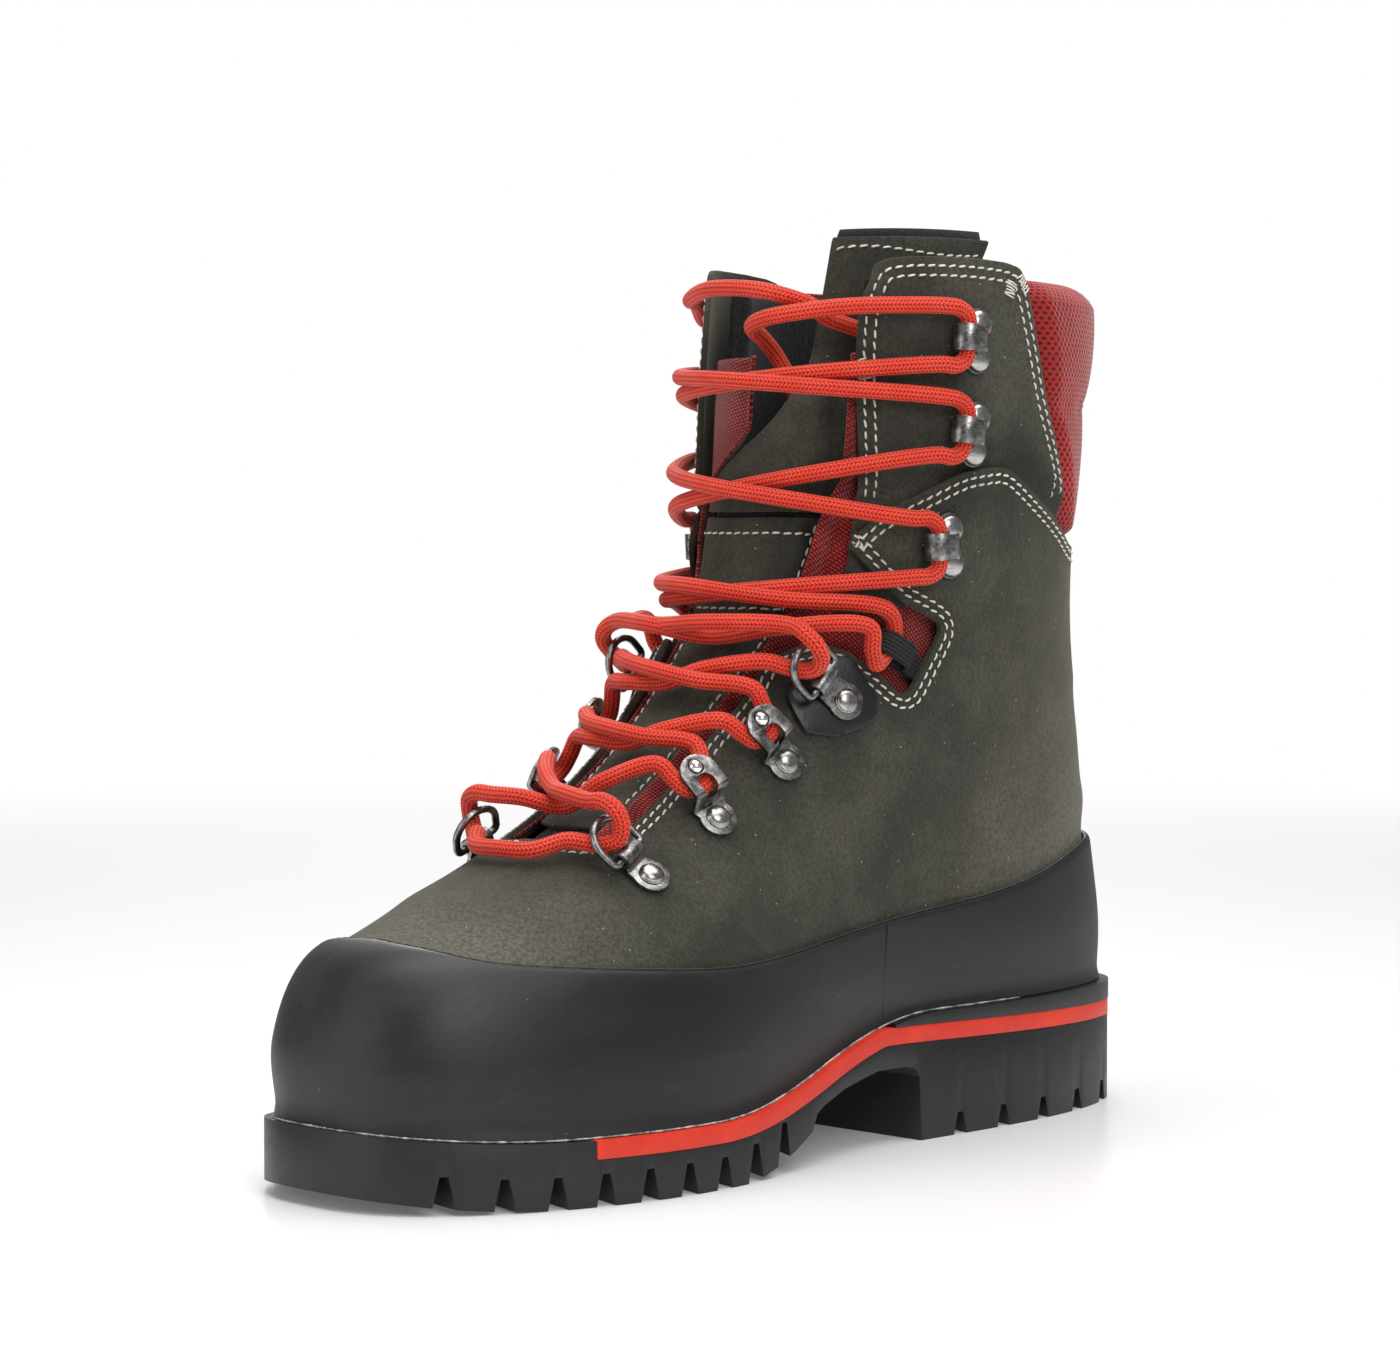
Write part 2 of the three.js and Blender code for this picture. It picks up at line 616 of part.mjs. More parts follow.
function addUpper() {
  add('front_rand', randPiece(-randJoin, randJoin, (2 * randJoin) / facet), 'rubber');
  add('heel_rand', randPiece(randJoin + 0.4, 360 - randJoin - 0.4, (360 - 2 * randJoin) / facet), 'rubber');
  add('vamp_quarters', vampQuarters(), 'suede');
  const stiffener = (from, to) => slab({
    across: (to - from) / facet,
    upward: 3,
    place: (s, t) => [lerp(from, to, s), randHeight(lerp(from, to, s), lerp(0.25, 1, t))],
    outer: constant(-innerLayer),
    inner: constant(-innerLayer - stiffenerThickness),
  });
  add('toe_stiffener', stiffener(-54, 54), 'board');
  add('heel_counter', stiffener(126, 234), 'board');
  add('cuff_flap_medial', cuffFlap(1), 'suede');
  add('cuff_flap_lateral', cuffFlap(-1), 'suede');
  add('back_strip', slab({
    across: 4,
    upward: 6,
    place: (s, t) => [lerp(172, 188, s), lerp(0.36, 0.7, t)],
    outer: constant(seatGap + 1.6),
    inner: constant(seatGap),
  }), 'rubber');
  add('lining', slab({
    across: 26,
    upward: 12,
    place: (s, t) => {
      const open = 39;
      const v = lerp(0.035, collarTop, t);
      const start = open * ease((v - 0.33) / 0.08);
      return [lerp(start + 0.4, 359.6 - start, s), v];
    },
    outer: liningOuter,
    inner: liningInner,
  }), 'fabric');
  add('rear_collar', rearCollar(), 'mesh');
  add('tongue_pad', tongueBand(0, 15, 0, -tonguePad), 'fabric');
  const panel = (first, last) => tongueBand(first, last, gap + tonguePanel, gap);
  add('tongue_lower_panel', panel(1, 5), 'suede');
  add('tongue_middle_panel', panel(6, 8), 'suede');
  add('tongue_upper_panel', panel(9, 15), 'suede');
  add('bellows_medial', bellows(1), 'mesh');
  add('bellows_lateral', bellows(-1), 'mesh');
}

// ---------------------------------------------------------------- lacing hardware
// Each row: where its rivet sits and where its throat end points, as [degrees, v].
const rows = [
  { name: 'row1', kind: 'ring', rivet: [46.5, 0.375], front: [29.5, 0.435], bar: 8 },
  { name: 'row2', kind: 'eyelet', rivet: [47, 0.478], front: [31.5, 0.537] },
  { name: 'row3', kind: 'eyelet', rivet: [51.5, 0.56], front: [36.5, 0.605] },
  { name: 'row4', kind: 'ring', rivet: [56, 0.625], front: [37, 0.66], bar: 9.5, backed: true },
  { name: 'row5', kind: 'loop', rivet: [68, 0.66], front: [57, 0.68] },
  { name: 'row6', kind: 'hook', rivet: [70.5, 0.76], front: [62, 0.76] },
  { name: 'row7', kind: 'hook', rivet: [74.2, 0.858], front: [65.5, 0.863] },
  { name: 'row8', kind: 'hook', rivet: [72.8, 0.942], front: [62, 0.945] },
];
const backingThickness = 1.2;
const eyeletBallX = 14;
const eyeletTop = 7.6;
const hookCentreX = 6;

// Local frame of a row: x towards the throat, z away from the leather, origin on the rivet.
function rowFrame(row, side) {
  const [degrees, v] = row.rivet;
  const origin = surfacePoint(side * degrees, v);
  const normal = surfaceNormal(side * degrees, v);
  const along = surfacePoint(side * row.front[0], row.front[1]).sub(origin);
  along.addScaledVector(normal, -along.dot(normal)).normalize();
  const across = normal.clone().cross(along);
  // Seated so that no sample of the footprint dips into the leather.
  let lift = 0;
  for (const x of [-5, 0, 4, 8]) {
    for (const y of [-5, 0, 5]) {
      const sample = origin.clone().addScaledVector(along, x).addScaledVector(across, y);
      const near = surfacePoint(...surfaceTerms(sample, side * degrees, v));
      lift = Math.max(lift, near.sub(sample).dot(normal));
    }
  }
  let seat = lift + seatGap;
  if (row.backed) seat += backingThickness + 2 * gap;
  if (row.kind === 'loop') seat = -meshDepth + seatGap;
  origin.addScaledVector(normal, seat);
  const frame = new THREE.Group();
  frame.matrixAutoUpdate = false;
  frame.matrix.makeBasis(along, across, normal).setPosition(origin);
  frame.matrix.decompose(frame.position, frame.quaternion, frame.scale);
  frame.matrixAutoUpdate = true;
  return frame;
}

// Degrees and v of the surface's closest point, by a few steps of descent from a start.
function surfaceTerms(point, degrees, v) {
  let best = [degrees, v];
  let bestDistance = Infinity;
  for (const step of [[6, 0.03], [2, 0.01], [0.7, 0.003]]) {
    for (let round = 0; round < 6; round++) {
      const [d0, v0] = best;
      for (const [i, j] of [[0, 0], [1, 0], [-1, 0], [0, 1], [0, -1], [1, 1], [-1, -1], [1, -1], [-1, 1]]) {
        const trial = [d0 + i * step[0], v0 + j * step[1]];
        const distance = surfacePoint(...trial).distanceTo(point);
        if (distance < bestDistance) [best, bestDistance] = [trial, distance];
      }
    }
  }
  return best;
}

// Domed rivet head with a stem below it.
function rivetGeometry(radius, stemRadius, stemLength) {
  const profile = [[0, -stemLength], [stemRadius, -stemLength], [stemRadius, 0], [radius, 0],
    [radius * 0.96, 0.7], [radius * 0.62, 1.5], [0, 1.9]];
  return new THREE.LatheGeometry(toVectors(profile), 8).rotateX(Math.PI / 2);
}

function plateShape(centreX, reach, tailRadius, halfWidth) {
  const shape = new THREE.Shape();
  shape.moveTo(reach, -halfWidth);
  shape.lineTo(reach, halfWidth);
  shape.lineTo(centreX, tailRadius);
  shape.absarc(centreX, 0, tailRadius, Math.PI / 2, 1.5 * Math.PI);
  return shape;
}

function drill(solid, x, y, radius) {
  const cutter = new THREE.CylinderGeometry(radius, radius, 20, 10).rotateX(Math.PI / 2).translate(x, y, 0);
  return solid.subtract(toSolid(cutter));
}

const barrelRadius = ringWire / 2 + gap + plateThickness;
const barHeight = barrelRadius + gap;

// Strap plate: a riveted tail and a barrel round the ring's bar.
function ringPlate(bar) {
  const profile = new THREE.Shape();
  const top = plateThickness;
  profile.moveTo(-8, 0);
  profile.lineTo(bar - barrelRadius * 0.8, 0);
  profile.absarc(bar, barHeight, barrelRadius, radians(233), radians(233 + 330));
  profile.lineTo(bar - barrelRadius * 0.95 - 1, top);
  profile.lineTo(-8, top);
  const hole = new THREE.Path();
  hole.absarc(bar, barHeight, ringWire / 2 + gap, 0, 2 * Math.PI);
  profile.holes.push(hole);
  const strip = toSolid(alongY(profile, 40));
  const plan = plateShape(0, bar + 6, 5.4, 4.2);
  return toGeometry(drill(strip.intersect(toSolid(alongZ(plan, -3, 9))), 0, 0, 1.8));
}

function ringGeometry() {
  const points = [];
  for (let i = 0; i <= 12; i++) {
    const angle = -Math.PI / 2 + (Math.PI * i) / 12;
    points.push(new THREE.Vector3(ringReach - ringHalfWidth + ringHalfWidth * Math.cos(angle),
      ringHalfWidth * Math.sin(angle), 0));
  }
  for (const y of [ringHalfWidth, 0, -ringHalfWidth]) points.push(new THREE.Vector3(0, y, 0));
  return loopTube(points, new THREE.Vector3(0, 0, 1), ringWire / 2, 7);
}

// Closed eyelet: riveted foot, ramp, and a raised frame with a seat for the ball.
function eyeletBody() {
  const t = plateThickness;
  const profile = polygon([[-8, 0], [4.8, 0], [6.8, eyeletTop - t], [19, eyeletTop - t], [19, eyeletTop],
    [5.9, eyeletTop], [4.1, t], [-8, t]]);
  const plan = new THREE.Shape();
  plan.absarc(0, 0, 5.4, radians(110), radians(250));
  plan.lineTo(3, -6);
  plan.absarc(eyeletBallX - 2.4, 0, 6, radians(-75), radians(75));
  plan.lineTo(3, 6);
  let body = toSolid(alongY(profile, 40)).intersect(toSolid(alongZ(plan, -3, 12)));
  const slot = new THREE.Shape();
  slot.absarc(7.6, 0, 2.6, Math.PI / 2, 1.5 * Math.PI);
  slot.absarc(8.8, 0, 2.6, -Math.PI / 2, Math.PI / 2);
  body = body.subtract(toSolid(alongZ(slot, 2.5, 12)));
  body = drill(body, eyeletBallX, 0, ballRadius + gap);
  return toGeometry(drill(body, 0, 0, 1.8));
}

function plateRivet() {
  return rivetGeometry(rivetRadius, 1.5, plateThickness).translate(0, 0, plateThickness + gap);
}

// Speed hook: a foot with two domed rivets, and a band that curls forward and back over the lace.
function hookGeometry() {
  const t = plateThickness;
  const inner = hookGap / 2;
  const outer = inner + t;
  const curl = new THREE.Shape();
  curl.moveTo(-2, 0);
  curl.lineTo(hookCentreX, 0);
  curl.absarc(hookCentreX, outer, outer, -Math.PI / 2, Math.PI / 2);
  curl.lineTo(1.5, 2 * outer);
  curl.lineTo(1.5, 2 * outer - t);
  curl.lineTo(hookCentreX, 2 * outer - t);
  curl.absarc(hookCentreX, outer, inner, Math.PI / 2, -Math.PI / 2, true);
  curl.lineTo(-2, t);
  let body = toSolid(alongY(curl, hookWidth));
  for (const y of [-4.85, 4.85]) {
    const lobe = new THREE.CylinderGeometry(4.9, 4.9, t, 10).rotateX(Math.PI / 2).translate(0, y, t / 2);
    body = body.add(toSolid(lobe));
    body = body.add(toSolid(rivetGeometry(rivetRadius, 1.5, t / 2).translate(0, y, t)));
  }
  return toGeometry(body);
}

function loopGeometry() {
  const inner = hookGap / 2;
  const outer = inner + 1.4;
  const profile = new THREE.Shape();
  profile.moveTo(-9, 0);
  profile.lineTo(7, 0);
  profile.absarc(7, outer, outer, -Math.PI / 2, Math.PI / 2);
  profile.lineTo(0.5, 2 * outer);
  profile.lineTo(-3, 1.4);
  profile.lineTo(-9, 1.4);
  const hole = new THREE.Path();
  hole.absarc(7, outer, inner, -Math.PI / 2, Math.PI / 2);
  hole.lineTo(1.5, outer + inner);
  hole.lineTo(-0.8, outer - inner);
  profile.holes.push(hole);
  return alongY(profile, 7);
}

function backingGeometry(row, side) {
  const [d, v] = row.rivet;
  const corners = [[d + 10.5, v - 0.02], [d + 8, v + 0.002], [d - 3, v + 0.038], [d - 13, v + 0.046],
    [d - 16, v + 0.012], [d - 5, v - 0.028], [d + 4, v - 0.038]];
  const frame = rowFrame(row, side);
  const inverse = frame.matrix.clone().invert();
  const outline = corners.map(([a, b]) => surfacePoint(side * a, b).applyMatrix4(inverse));
  const shape = polygon(outline.map((p) => [p.x, p.y]));
  const block = alongZ(shape, -8, 8).applyMatrix4(frame.matrix);
  const skin = slab({
    across: 8,
    upward: 8,
    place: (s, t) => [side * lerp(d - 26, d + 18, s), lerp(v - 0.07, v + 0.08, t)],
    outer: constant(seatGap + gap + backingThickness),
    inner: constant(seatGap + gap),
  });
  return toGeometry(toSolid(skin).intersect(toSolid(block)));
}

function addHardware() {
  for (const [label, side] of [['medial', 1], ['lateral', -1]]) {
    for (const row of rows) {
      const frame = rowFrame(row, side);
      boot.add(frame);
      const name = `${row.name}_${label}`;
      if (row.kind === 'ring') {
        add(`${name}_plate`, ringPlate(row.bar), 'gunmetal', frame);
        add(`${name}_rivet`, plateRivet(), 'gunmetal', frame);
        const ring = add(`${name}_ring`, ringGeometry(), 'gunmetal', frame);
        ring.position.set(row.bar, 0, barHeight);
        ring.rotation.y = -radians(ringTilt);
        if (row.backed) add(`${name}_backing`, backingGeometry(row, side), 'webbing');
      }
      if (row.kind === 'eyelet') {
        add(`${name}_eyelet`, eyeletBody(), 'gunmetal', frame);
        add(`${name}_rivet`, plateRivet(), 'gunmetal', frame);
        const ball = add(`${name}_ball`, new THREE.SphereGeometry(ballRadius, 8, 6), 'steel', frame);
        ball.position.set(eyeletBallX, 0, eyeletTop - plateThickness / 2);
      }
      if (row.kind === 'loop') add(`${name}_loop`, loopGeometry(), 'webbing', frame);
      if (row.kind === 'hook') add(`${name}_hook`, hookGeometry(), 'gunmetal', frame);
    }
  }
}

// ---------------------------------------------------------------- lace
// The way through each kind of hardware, from its lower entry to its upper exit: x, up, z.
function laceThrough(row) {
  const bar = row.bar;
  if (row.kind === 'ring') {
    return [[bar + 16, -5.4, -0.4], [bar + 11, -3.6, 1.3], [bar + 6.6, -2, 2.9], [bar + 4.4, 0, 5.4],
      [bar + 5.6, 1.8, 9.2], [bar + 9.2, 2.9, 11.5], [bar + 13.4, 4, 10.4], [bar + 17, 5.2, 6.6]];
  }
  if (row.kind === 'eyelet') {
    const x = eyeletBallX;
    return [[x + 7, -7, 3.5], [x + 1.5, -5.5, 3.2], [x - 3.3, -3.9, 3.2], [x - 5, 0, 3.2],
      [x - 3.3, 3.9, 3.2], [x + 1.5, 5.5, 3.2], [x + 7, 7, 3.5]];
  }
  if (row.kind === 'loop') {
    return [[19, -1, 11], [14.5, -5.5, 9.6], [10, -7.4, 7], [7.6, -4.6, 5], [6.9, 0, 4.4], [7, 3.5, 4.4],
      [9.5, 7.2, 4.6], [15, 8, 6]];
  }
  const z = hookGap / 2 + plateThickness;
  return [[14, -8.4, 3.5], [9.4, -8.2, 3.8], [6.6, -6.3, z], [5.9, -3.2, z], [5.8, 0, z], [5.9, 3.2, z],
    [6.6, 6.3, z], [9.4, 8.2, 3.8], [14, 8.4, 3.5]];
}

// Strand over the tongue from one row's exit to the next row's entry on the other side: straight
// in the surface's own terms, and at the given height where two strands cross.
function laceAcross(from, to, side, exit, entry, over) {
  const [d0, v0] = surfaceTerms(exit, side * from.front[0], from.front[1]);
  const [d1, v1] = surfaceTerms(entry, -side * to.front[0], to.front[1]);
  const h0 = exit.distanceTo(surfacePoint(d0, v0));
  const h1 = entry.distanceTo(surfacePoint(d1, v1));
  return [0.25, 0.5, 0.75].map((t) => {
    const height = lerp(lerp(h0, h1, ease(t)), over, Math.exp(-(((t - 0.5) / 0.24) ** 2)));
    return offsetPoint(lerp(d0, d1, t), lerp(v0, v1, t), height);
  });
}

class LaceCurve extends THREE.CatmullRomCurve3 {
  // Steps are even between the chosen points, so the tight turns get as many as the long runs.
  getUtoTmapping(u) {
    return u;
  }
}

function laceRoute() {
  boot.updateMatrixWorld(true);
  const through = (row, side) => {
    const frame = rowFrame(row, side);
    frame.updateMatrix();
    const toPoint = ([x, up, z]) => new THREE.Vector3(x, -side * up, z).applyMatrix4(frame.matrix);
    return laceThrough(row).map(toPoint);
  };
  // Half of the lace, from row 1 up to row 8, starting on one side.
  const half = (start) => {
    const points = [];
    let side = start;
    rows.forEach((row, k) => {
      const next = through(row, side);
      const over = side < 0 ? 8.6 : 3.2;
      if (k > 0) points.push(...laceAcross(rows[k - 1], row, -side, points.at(-1), next[0], over));
      points.push(...next);
      side = -side;
    });
    return points;
  };
  const left = half(1);
  const right = half(-1);
  const across = [-14, 0, 14].map((degrees) => offsetPoint(degrees, rows[0].front[1] - 0.012, 4.2));
  // Tails: one dips inside the shaft in front of the lining, one tucks behind the medial flap.
  const tailLateral = [[-50, 0.985, 4], [-36, 0.985, 4.4], [-12, 0.99, 5], [10, 0.985, 4], [22, 0.975, -2],
    [27, 0.965, -9], [34, 0.96, -13.2], [46, 0.95, -13.4], [60, 0.93, -13.4], [76, 0.88, -13.4],
    [86, 0.82, -13.4], [89, 0.76, -13.4]];
  const tailMedial = [[50, 0.972, 4], [36, 0.97, 4.6], [22, 0.965, 5], [10, 0.96, 4], [1, 0.955, -1],
    [-2, 0.948, -8], [-4, 0.935, -15], [0, 0.91, -20], [6, 0.88, -21.5], [10, 0.84, -21.5],
    [12, 0.8, -20.5]];
  const toPoints = (tail) => tail.map(([degrees, v, offset]) => offsetPoint(degrees, v, offset));
  const start = [...toPoints(tailLateral).reverse(), ...left.reverse(), ...across.reverse()];
  return [...start, ...right, ...toPoints(tailMedial)];
}

function addLace() {
  const points = laceRoute();
  const curve = new LaceCurve(points, false, 'centripetal');
  const section = new THREE.Shape();
  section.absarc(0, 0, laceDiameter / 2, 0, 2 * Math.PI);
  const tube = new THREE.ExtrudeGeometry(section, {
    steps: points.length - 1, extrudePath: curve, curveSegments: 4, bevelEnabled: false,
  });
  add('lace', tube, 'lace');
  // Sleeves on the two ends, in line with the last stretch of lace.
  [[0, 1, 'lateral'], [points.length - 1, points.length - 2, 'medial']].forEach(([end, before, label]) => {
    const heading = points[end].clone().sub(points[before]).normalize();
    const sleeve = new THREE.CylinderGeometry(laceDiameter / 2, laceDiameter / 2 + 0.3, agletLength, 8);
    sleeve.translate(0, agletLength / 2 + gap, 0);
    const aglet = add(`aglet_${label}`, sleeve, 'plastic');
    aglet.quaternion.setFromUnitVectors(new THREE.Vector3(0, 1, 0), heading);
    aglet.position.copy(points[end]);
  });
}

addBottomUnit();
addUpper();
addHardware();
addLace();

// The origin is the middle of the sole's footprint.
const box = new THREE.Box3().setFromObject(boot);
boot.position.set(-(box.min.x + box.max.x) / 2, -(box.min.y + box.max.y) / 2, -box.min.z);

export default boot;
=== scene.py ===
import math

import bmesh
import bpy
import numpy as np
from mathutils import Matrix, Vector
from mathutils.geometry import delaunay_2d_cdt


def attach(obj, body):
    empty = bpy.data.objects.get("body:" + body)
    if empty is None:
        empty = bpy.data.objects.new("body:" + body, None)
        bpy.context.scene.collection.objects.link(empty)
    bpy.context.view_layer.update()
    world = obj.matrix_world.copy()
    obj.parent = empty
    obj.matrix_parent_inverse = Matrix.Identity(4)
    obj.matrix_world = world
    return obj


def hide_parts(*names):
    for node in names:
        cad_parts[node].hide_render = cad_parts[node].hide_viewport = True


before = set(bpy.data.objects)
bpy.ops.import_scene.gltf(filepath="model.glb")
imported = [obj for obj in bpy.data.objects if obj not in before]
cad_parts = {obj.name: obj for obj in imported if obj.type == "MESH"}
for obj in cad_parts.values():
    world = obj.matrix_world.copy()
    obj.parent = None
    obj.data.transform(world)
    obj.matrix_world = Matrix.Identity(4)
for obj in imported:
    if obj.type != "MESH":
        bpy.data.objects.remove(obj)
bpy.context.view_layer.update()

# Lengths below are in millimetres in the sole's own frame; SHIFT centres it, MM turns it to metres.
# The surface of the upper has two coordinates: deg, from the toe round the medial side, and v, from 0 at
# the sole to 1 at the cuff. An offset is a distance out of that surface.
MM = 0.001
SHIFT = np.array([-0.305, 1.0, 0.0])
ROOT = "boot"
SIDES = (("medial", 1), ("lateral", -1))


# ---------------------------------------------------------------- the surface of the upper
# Rows at equal steps of v: front y and rise, back y and rise, half width, power of the rounded outline.
SECTIONS = np.array([
    [-153, 0, 151, 0, 54.5, 2.75],
    [-154.5, 22, 151, 17, 54, 2.7],
    [-144, 44.5, 149.5, 35, 51, 2.6],
    [-117, 56, 149, 51, 47, 2.4],
    [-94, 65.5, 147, 64, 44.5, 2.2],
    [-63, 80, 143, 78, 44.5, 2.15],
    [-36, 100, 138.5, 95, 44.5, 2.1],
    [-8, 133, 131.5, 121, 47, 2.1],
    [2.5, 166, 130.5, 151, 49, 2.1],
    [6, 200, 134, 181, 50, 2.1],
    [9, 232, 137, 211, 50, 2.1],
    [12, 264, 139, 241, 50, 2.1],
], float)
# Width of each side against y, as a share of the half width.
MEDIAL = np.array([[-160, 1.05], [-120, 1.08], [-85, 1.1], [-60, 1.06], [-20, 0.89], [20, 0.68],
                   [60, 0.7], [100, 0.73], [160, 0.73]], float)
LATERAL = np.array([[-160, 0.95], [-120, 0.98], [-85, 1.02], [-50, 1.04], [-20, 0.98], [20, 0.88],
                    [60, 0.8], [100, 0.76], [160, 0.76]], float)
BALL, HEEL = 17.5, 37.0


def ease(t):
    s = np.clip(t, 0, 1)
    return s * s * (3 - 2 * s)


def lerp(a, b, t):
    return a + (b - a) * t


def table(points, at):
    points = np.asarray(points, float)
    return np.interp(at, points[:, 0], points[:, 1])


def share(y, medial):
    """The side's width share, averaged over 48 mm so that the outline curves."""
    reach = np.arange(-24.0, 25.0, 2.0)
    return sum(np.where(medial, table(MEDIAL, y + k), table(LATERAL, y + k)) for k in reach) / len(reach)


def sole_top(y):
    rise = ease((y + 60) / 108)
    spring = np.clip((-105 - y) / 48, 0, 1.2) ** 2
    return lerp(BALL, HEEL, rise) + 3.2 * spring


def section(v):
    """The section's six values at v, by a smooth curve through SECTIONS."""
    v = np.asarray(v, float)
    padded = np.vstack([2 * SECTIONS[0] - SECTIONS[1], SECTIONS, 2 * SECTIONS[-1] - SECTIONS[-2]])
    i = np.clip(np.floor(v * 10).astype(int), 0, len(SECTIONS) - 2)
    f = (v * 10 - i)[..., None]
    a, b, c, d = padded[i], padded[i + 1], padded[i + 2], padded[i + 3]
    return 0.5 * (2 * b + (c - a) * f + (2 * a - 5 * b + 4 * c - d) * f ** 2
                  + (3 * b - a - 3 * c + d) * f ** 3)


def surf(deg, v):
    """The point of the upper's surface at (deg, v)."""
    deg, v = np.broadcast_arrays(np.asarray(deg, float), np.asarray(v, float))
    front_y, front_rise, back_y, back_rise, half, power = np.moveaxis(section(v), -1, 0)
    c, s = np.cos(np.radians(deg)), np.sin(np.radians(deg))
    r = (np.abs(c) ** power + np.abs(s) ** power) ** (-1 / power)
    t = (1 + r * c) / 2
    y = lerp(back_y, front_y, t)
    ramp = lerp(HEEL, BALL, t)
    z = lerp(back_rise, front_rise, t) + ramp + (sole_top(y) - ramp) * np.clip(1 - v / 0.5, 0, 1)
    shaped = np.clip(1 - v / 0.6, 0, 1) ** 0.7
    x = half * r * s * (1 + shaped * (share(y, s >= 0) - 1))
    return np.stack([x, y, z], -1)


def normal(deg, v):
    around = surf(deg + 0.4, v) - surf(deg - 0.4, v)
    up = surf(deg, v + 0.004) - surf(deg, v - 0.004)
    n = np.cross(around, up)
    return n / (np.linalg.norm(n, axis=-1, keepdims=True) + 1e-12)


def off(deg, v, offset):
    """The point at an offset out of the surface."""
    deg, v, offset = np.broadcast_arrays(*(np.asarray(value, float) for value in (deg, v, offset)))
    return surf(deg, v) + normal(deg, v) * offset[..., None]


# Edges of the pieces, as (deg, v) or (v, deg) points.
RAND_TOP = [[0, 0.25], [22, 0.238], [35, 0.215], [60, 0.19], [90, 0.165], [103, 0.157], [122, 0.188],
            [141, 0.25], [160, 0.265], [180, 0.27]]
QUARTER_TOP = [[0, 0.8], [42, 0.765], [47, 0.787], [56, 0.8], [73, 0.825], [88, 0.83], [104, 0.797],
               [128, 0.752], [180, 0.735]]
FLAP_FRONT = [[0.7, 43], [0.82, 42], [0.87, 40], [0.94, 38], [0.99, 39], [1.02, 46]]
FLAP_REAR = [[0.7, 132], [0.755, 128], [0.835, 113], [0.89, 102], [0.955, 95], [1.02, 88]]
TONGUE_LEFT = [[0.44, -19], [0.6, -16], [0.7, -14], [0.79, -24], [0.83, -16], [0.86, 2], [0.93, 15],
               [1, 20], [1.06, 24]]
TONGUE_RIGHT = [[0.44, 19], [0.6, 20], [0.7, 28], [0.8, 33], [0.86, 46], [0.93, 68], [1, 86], [1.06, 96]]


def smooth_table(points, at, width):
    """The table averaged over a width, so that drawn edges curve instead of turning corners."""
    return sum(table(points, at + width * k / 4) for k in range(-4, 5)) / 9


def from_toe(deg):
    """Degrees from the toe, whichever side."""
    return np.abs((np.asarray(deg, float) + 180) % 360 - 180)


def rand_top(deg):
    return smooth_table(RAND_TOP, from_toe(deg), 7)


def quarter_top(deg):
    return smooth_table(QUARTER_TOP, from_toe(deg), 4)


# How far out of the surface each layer's outer face is, at (deg, v).
def leather_out(deg, v):
    above = v - rand_top(deg)
    return -2.5 * (1 - ease((above - 0.004) / 0.1))


def lining_out(deg, v):
    return -7.5 - 2.0 * (1 - ease((v - 0.25) / 0.15))


def flap_out(deg, v):
    above = v - quarter_top(deg)
    return -3.1 * (1 - ease((above - 0.016) / 0.02))


def mesh_out(deg, v):
    return -lerp(2.9, 5.3, ease((v - 0.58) / 0.06))


def tongue_out(deg, v):
    a = np.abs(deg)
    front = -3 - 1.6 * ease((a - 17) / 5) * ease((v - 0.66) / 0.05)
    behind = lerp(front, -12.1, ease((a - 24) / 9))
    return lerp(behind, -19, ease((v - 0.82) / 0.12))


# ---------------------------------------------------------------- mesh helpers
def net(lines, points, base=0, around=False, joined=False, flip=False):
    """Quads between lines of points. around closes each line, joined closes the set of lines."""
    faces = []
    for i in range(lines if joined else lines - 1):
        a, b = base + i * points, base + (i + 1) % lines * points
        for j in range(points if around else points - 1):
            k = (j + 1) % points
            faces.append((a + j, a + k, b + k, b + j) if flip else (a + j, b + j, b + k, a + k))
    return faces


def make(name, verts, faces, material, smooth=True, uv=None, ride=ROOT):
    """A mesh object from points in millimetres; uv, also in millimetres, is one pair per vertex."""
    mesh = bpy.data.meshes.new(name)
    pts = (np.asarray(verts, float) + SHIFT) * MM
    mesh.from_pydata(pts.tolist(), [], [list(f) for f in faces])
    if uv is not None:
        layer = mesh.uv_layers.new(name="UVMap")
        idx = np.empty(len(mesh.loops), np.int32)
        mesh.loops.foreach_get("vertex_index", idx)
        layer.data.foreach_set("uv", np.asarray(uv, float)[idx].astype(np.float32).ravel())
    mesh.update()
    if smooth:
        mesh.polygons.foreach_set("use_smooth", [True] * len(mesh.polygons))
    obj = bpy.data.objects.new(name, mesh)
    bpy.context.scene.collection.objects.link(obj)
    if material is not None:
        mesh.materials.append(material)
    if ride:
        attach(obj, ride)
    return obj


def raw(name, verts, faces, material=None, smooth=False, uv=None):
    """A mesh in its own frame, without the sole's shift."""
    return make(name, np.asarray(verts, float) - SHIFT, faces, material, smooth=smooth, uv=uv, ride=None)


def edit(obj, *steps):
    """Runs each step on the object's mesh, opened as a bmesh."""
    bm = bmesh.new()
    bm.from_mesh(obj.data)
    for step in steps:
        step(bm)
    bm.to_mesh(obj.data)
    bm.free()
    return obj


def outwards(bm):
    bmesh.ops.recalc_face_normals(bm, faces=bm.faces)


def weld(dist):
    return lambda bm: bmesh.ops.remove_doubles(bm, verts=bm.verts, dist=dist)


def fill_holes(bm):
    bmesh.ops.holes_fill(bm, edges=[e for e in bm.edges if e.is_boundary], sides=0)


def auto_smooth(obj, angle):
    """Smooth shading, with creases where faces meet at more than the angle."""
    def mark(bm):
        for e in bm.edges:
            e.smooth = len(e.link_faces) == 2 and e.calc_face_angle(0) < math.radians(angle)
        for f in bm.faces:
            f.smooth = True
    return edit(obj, mark)


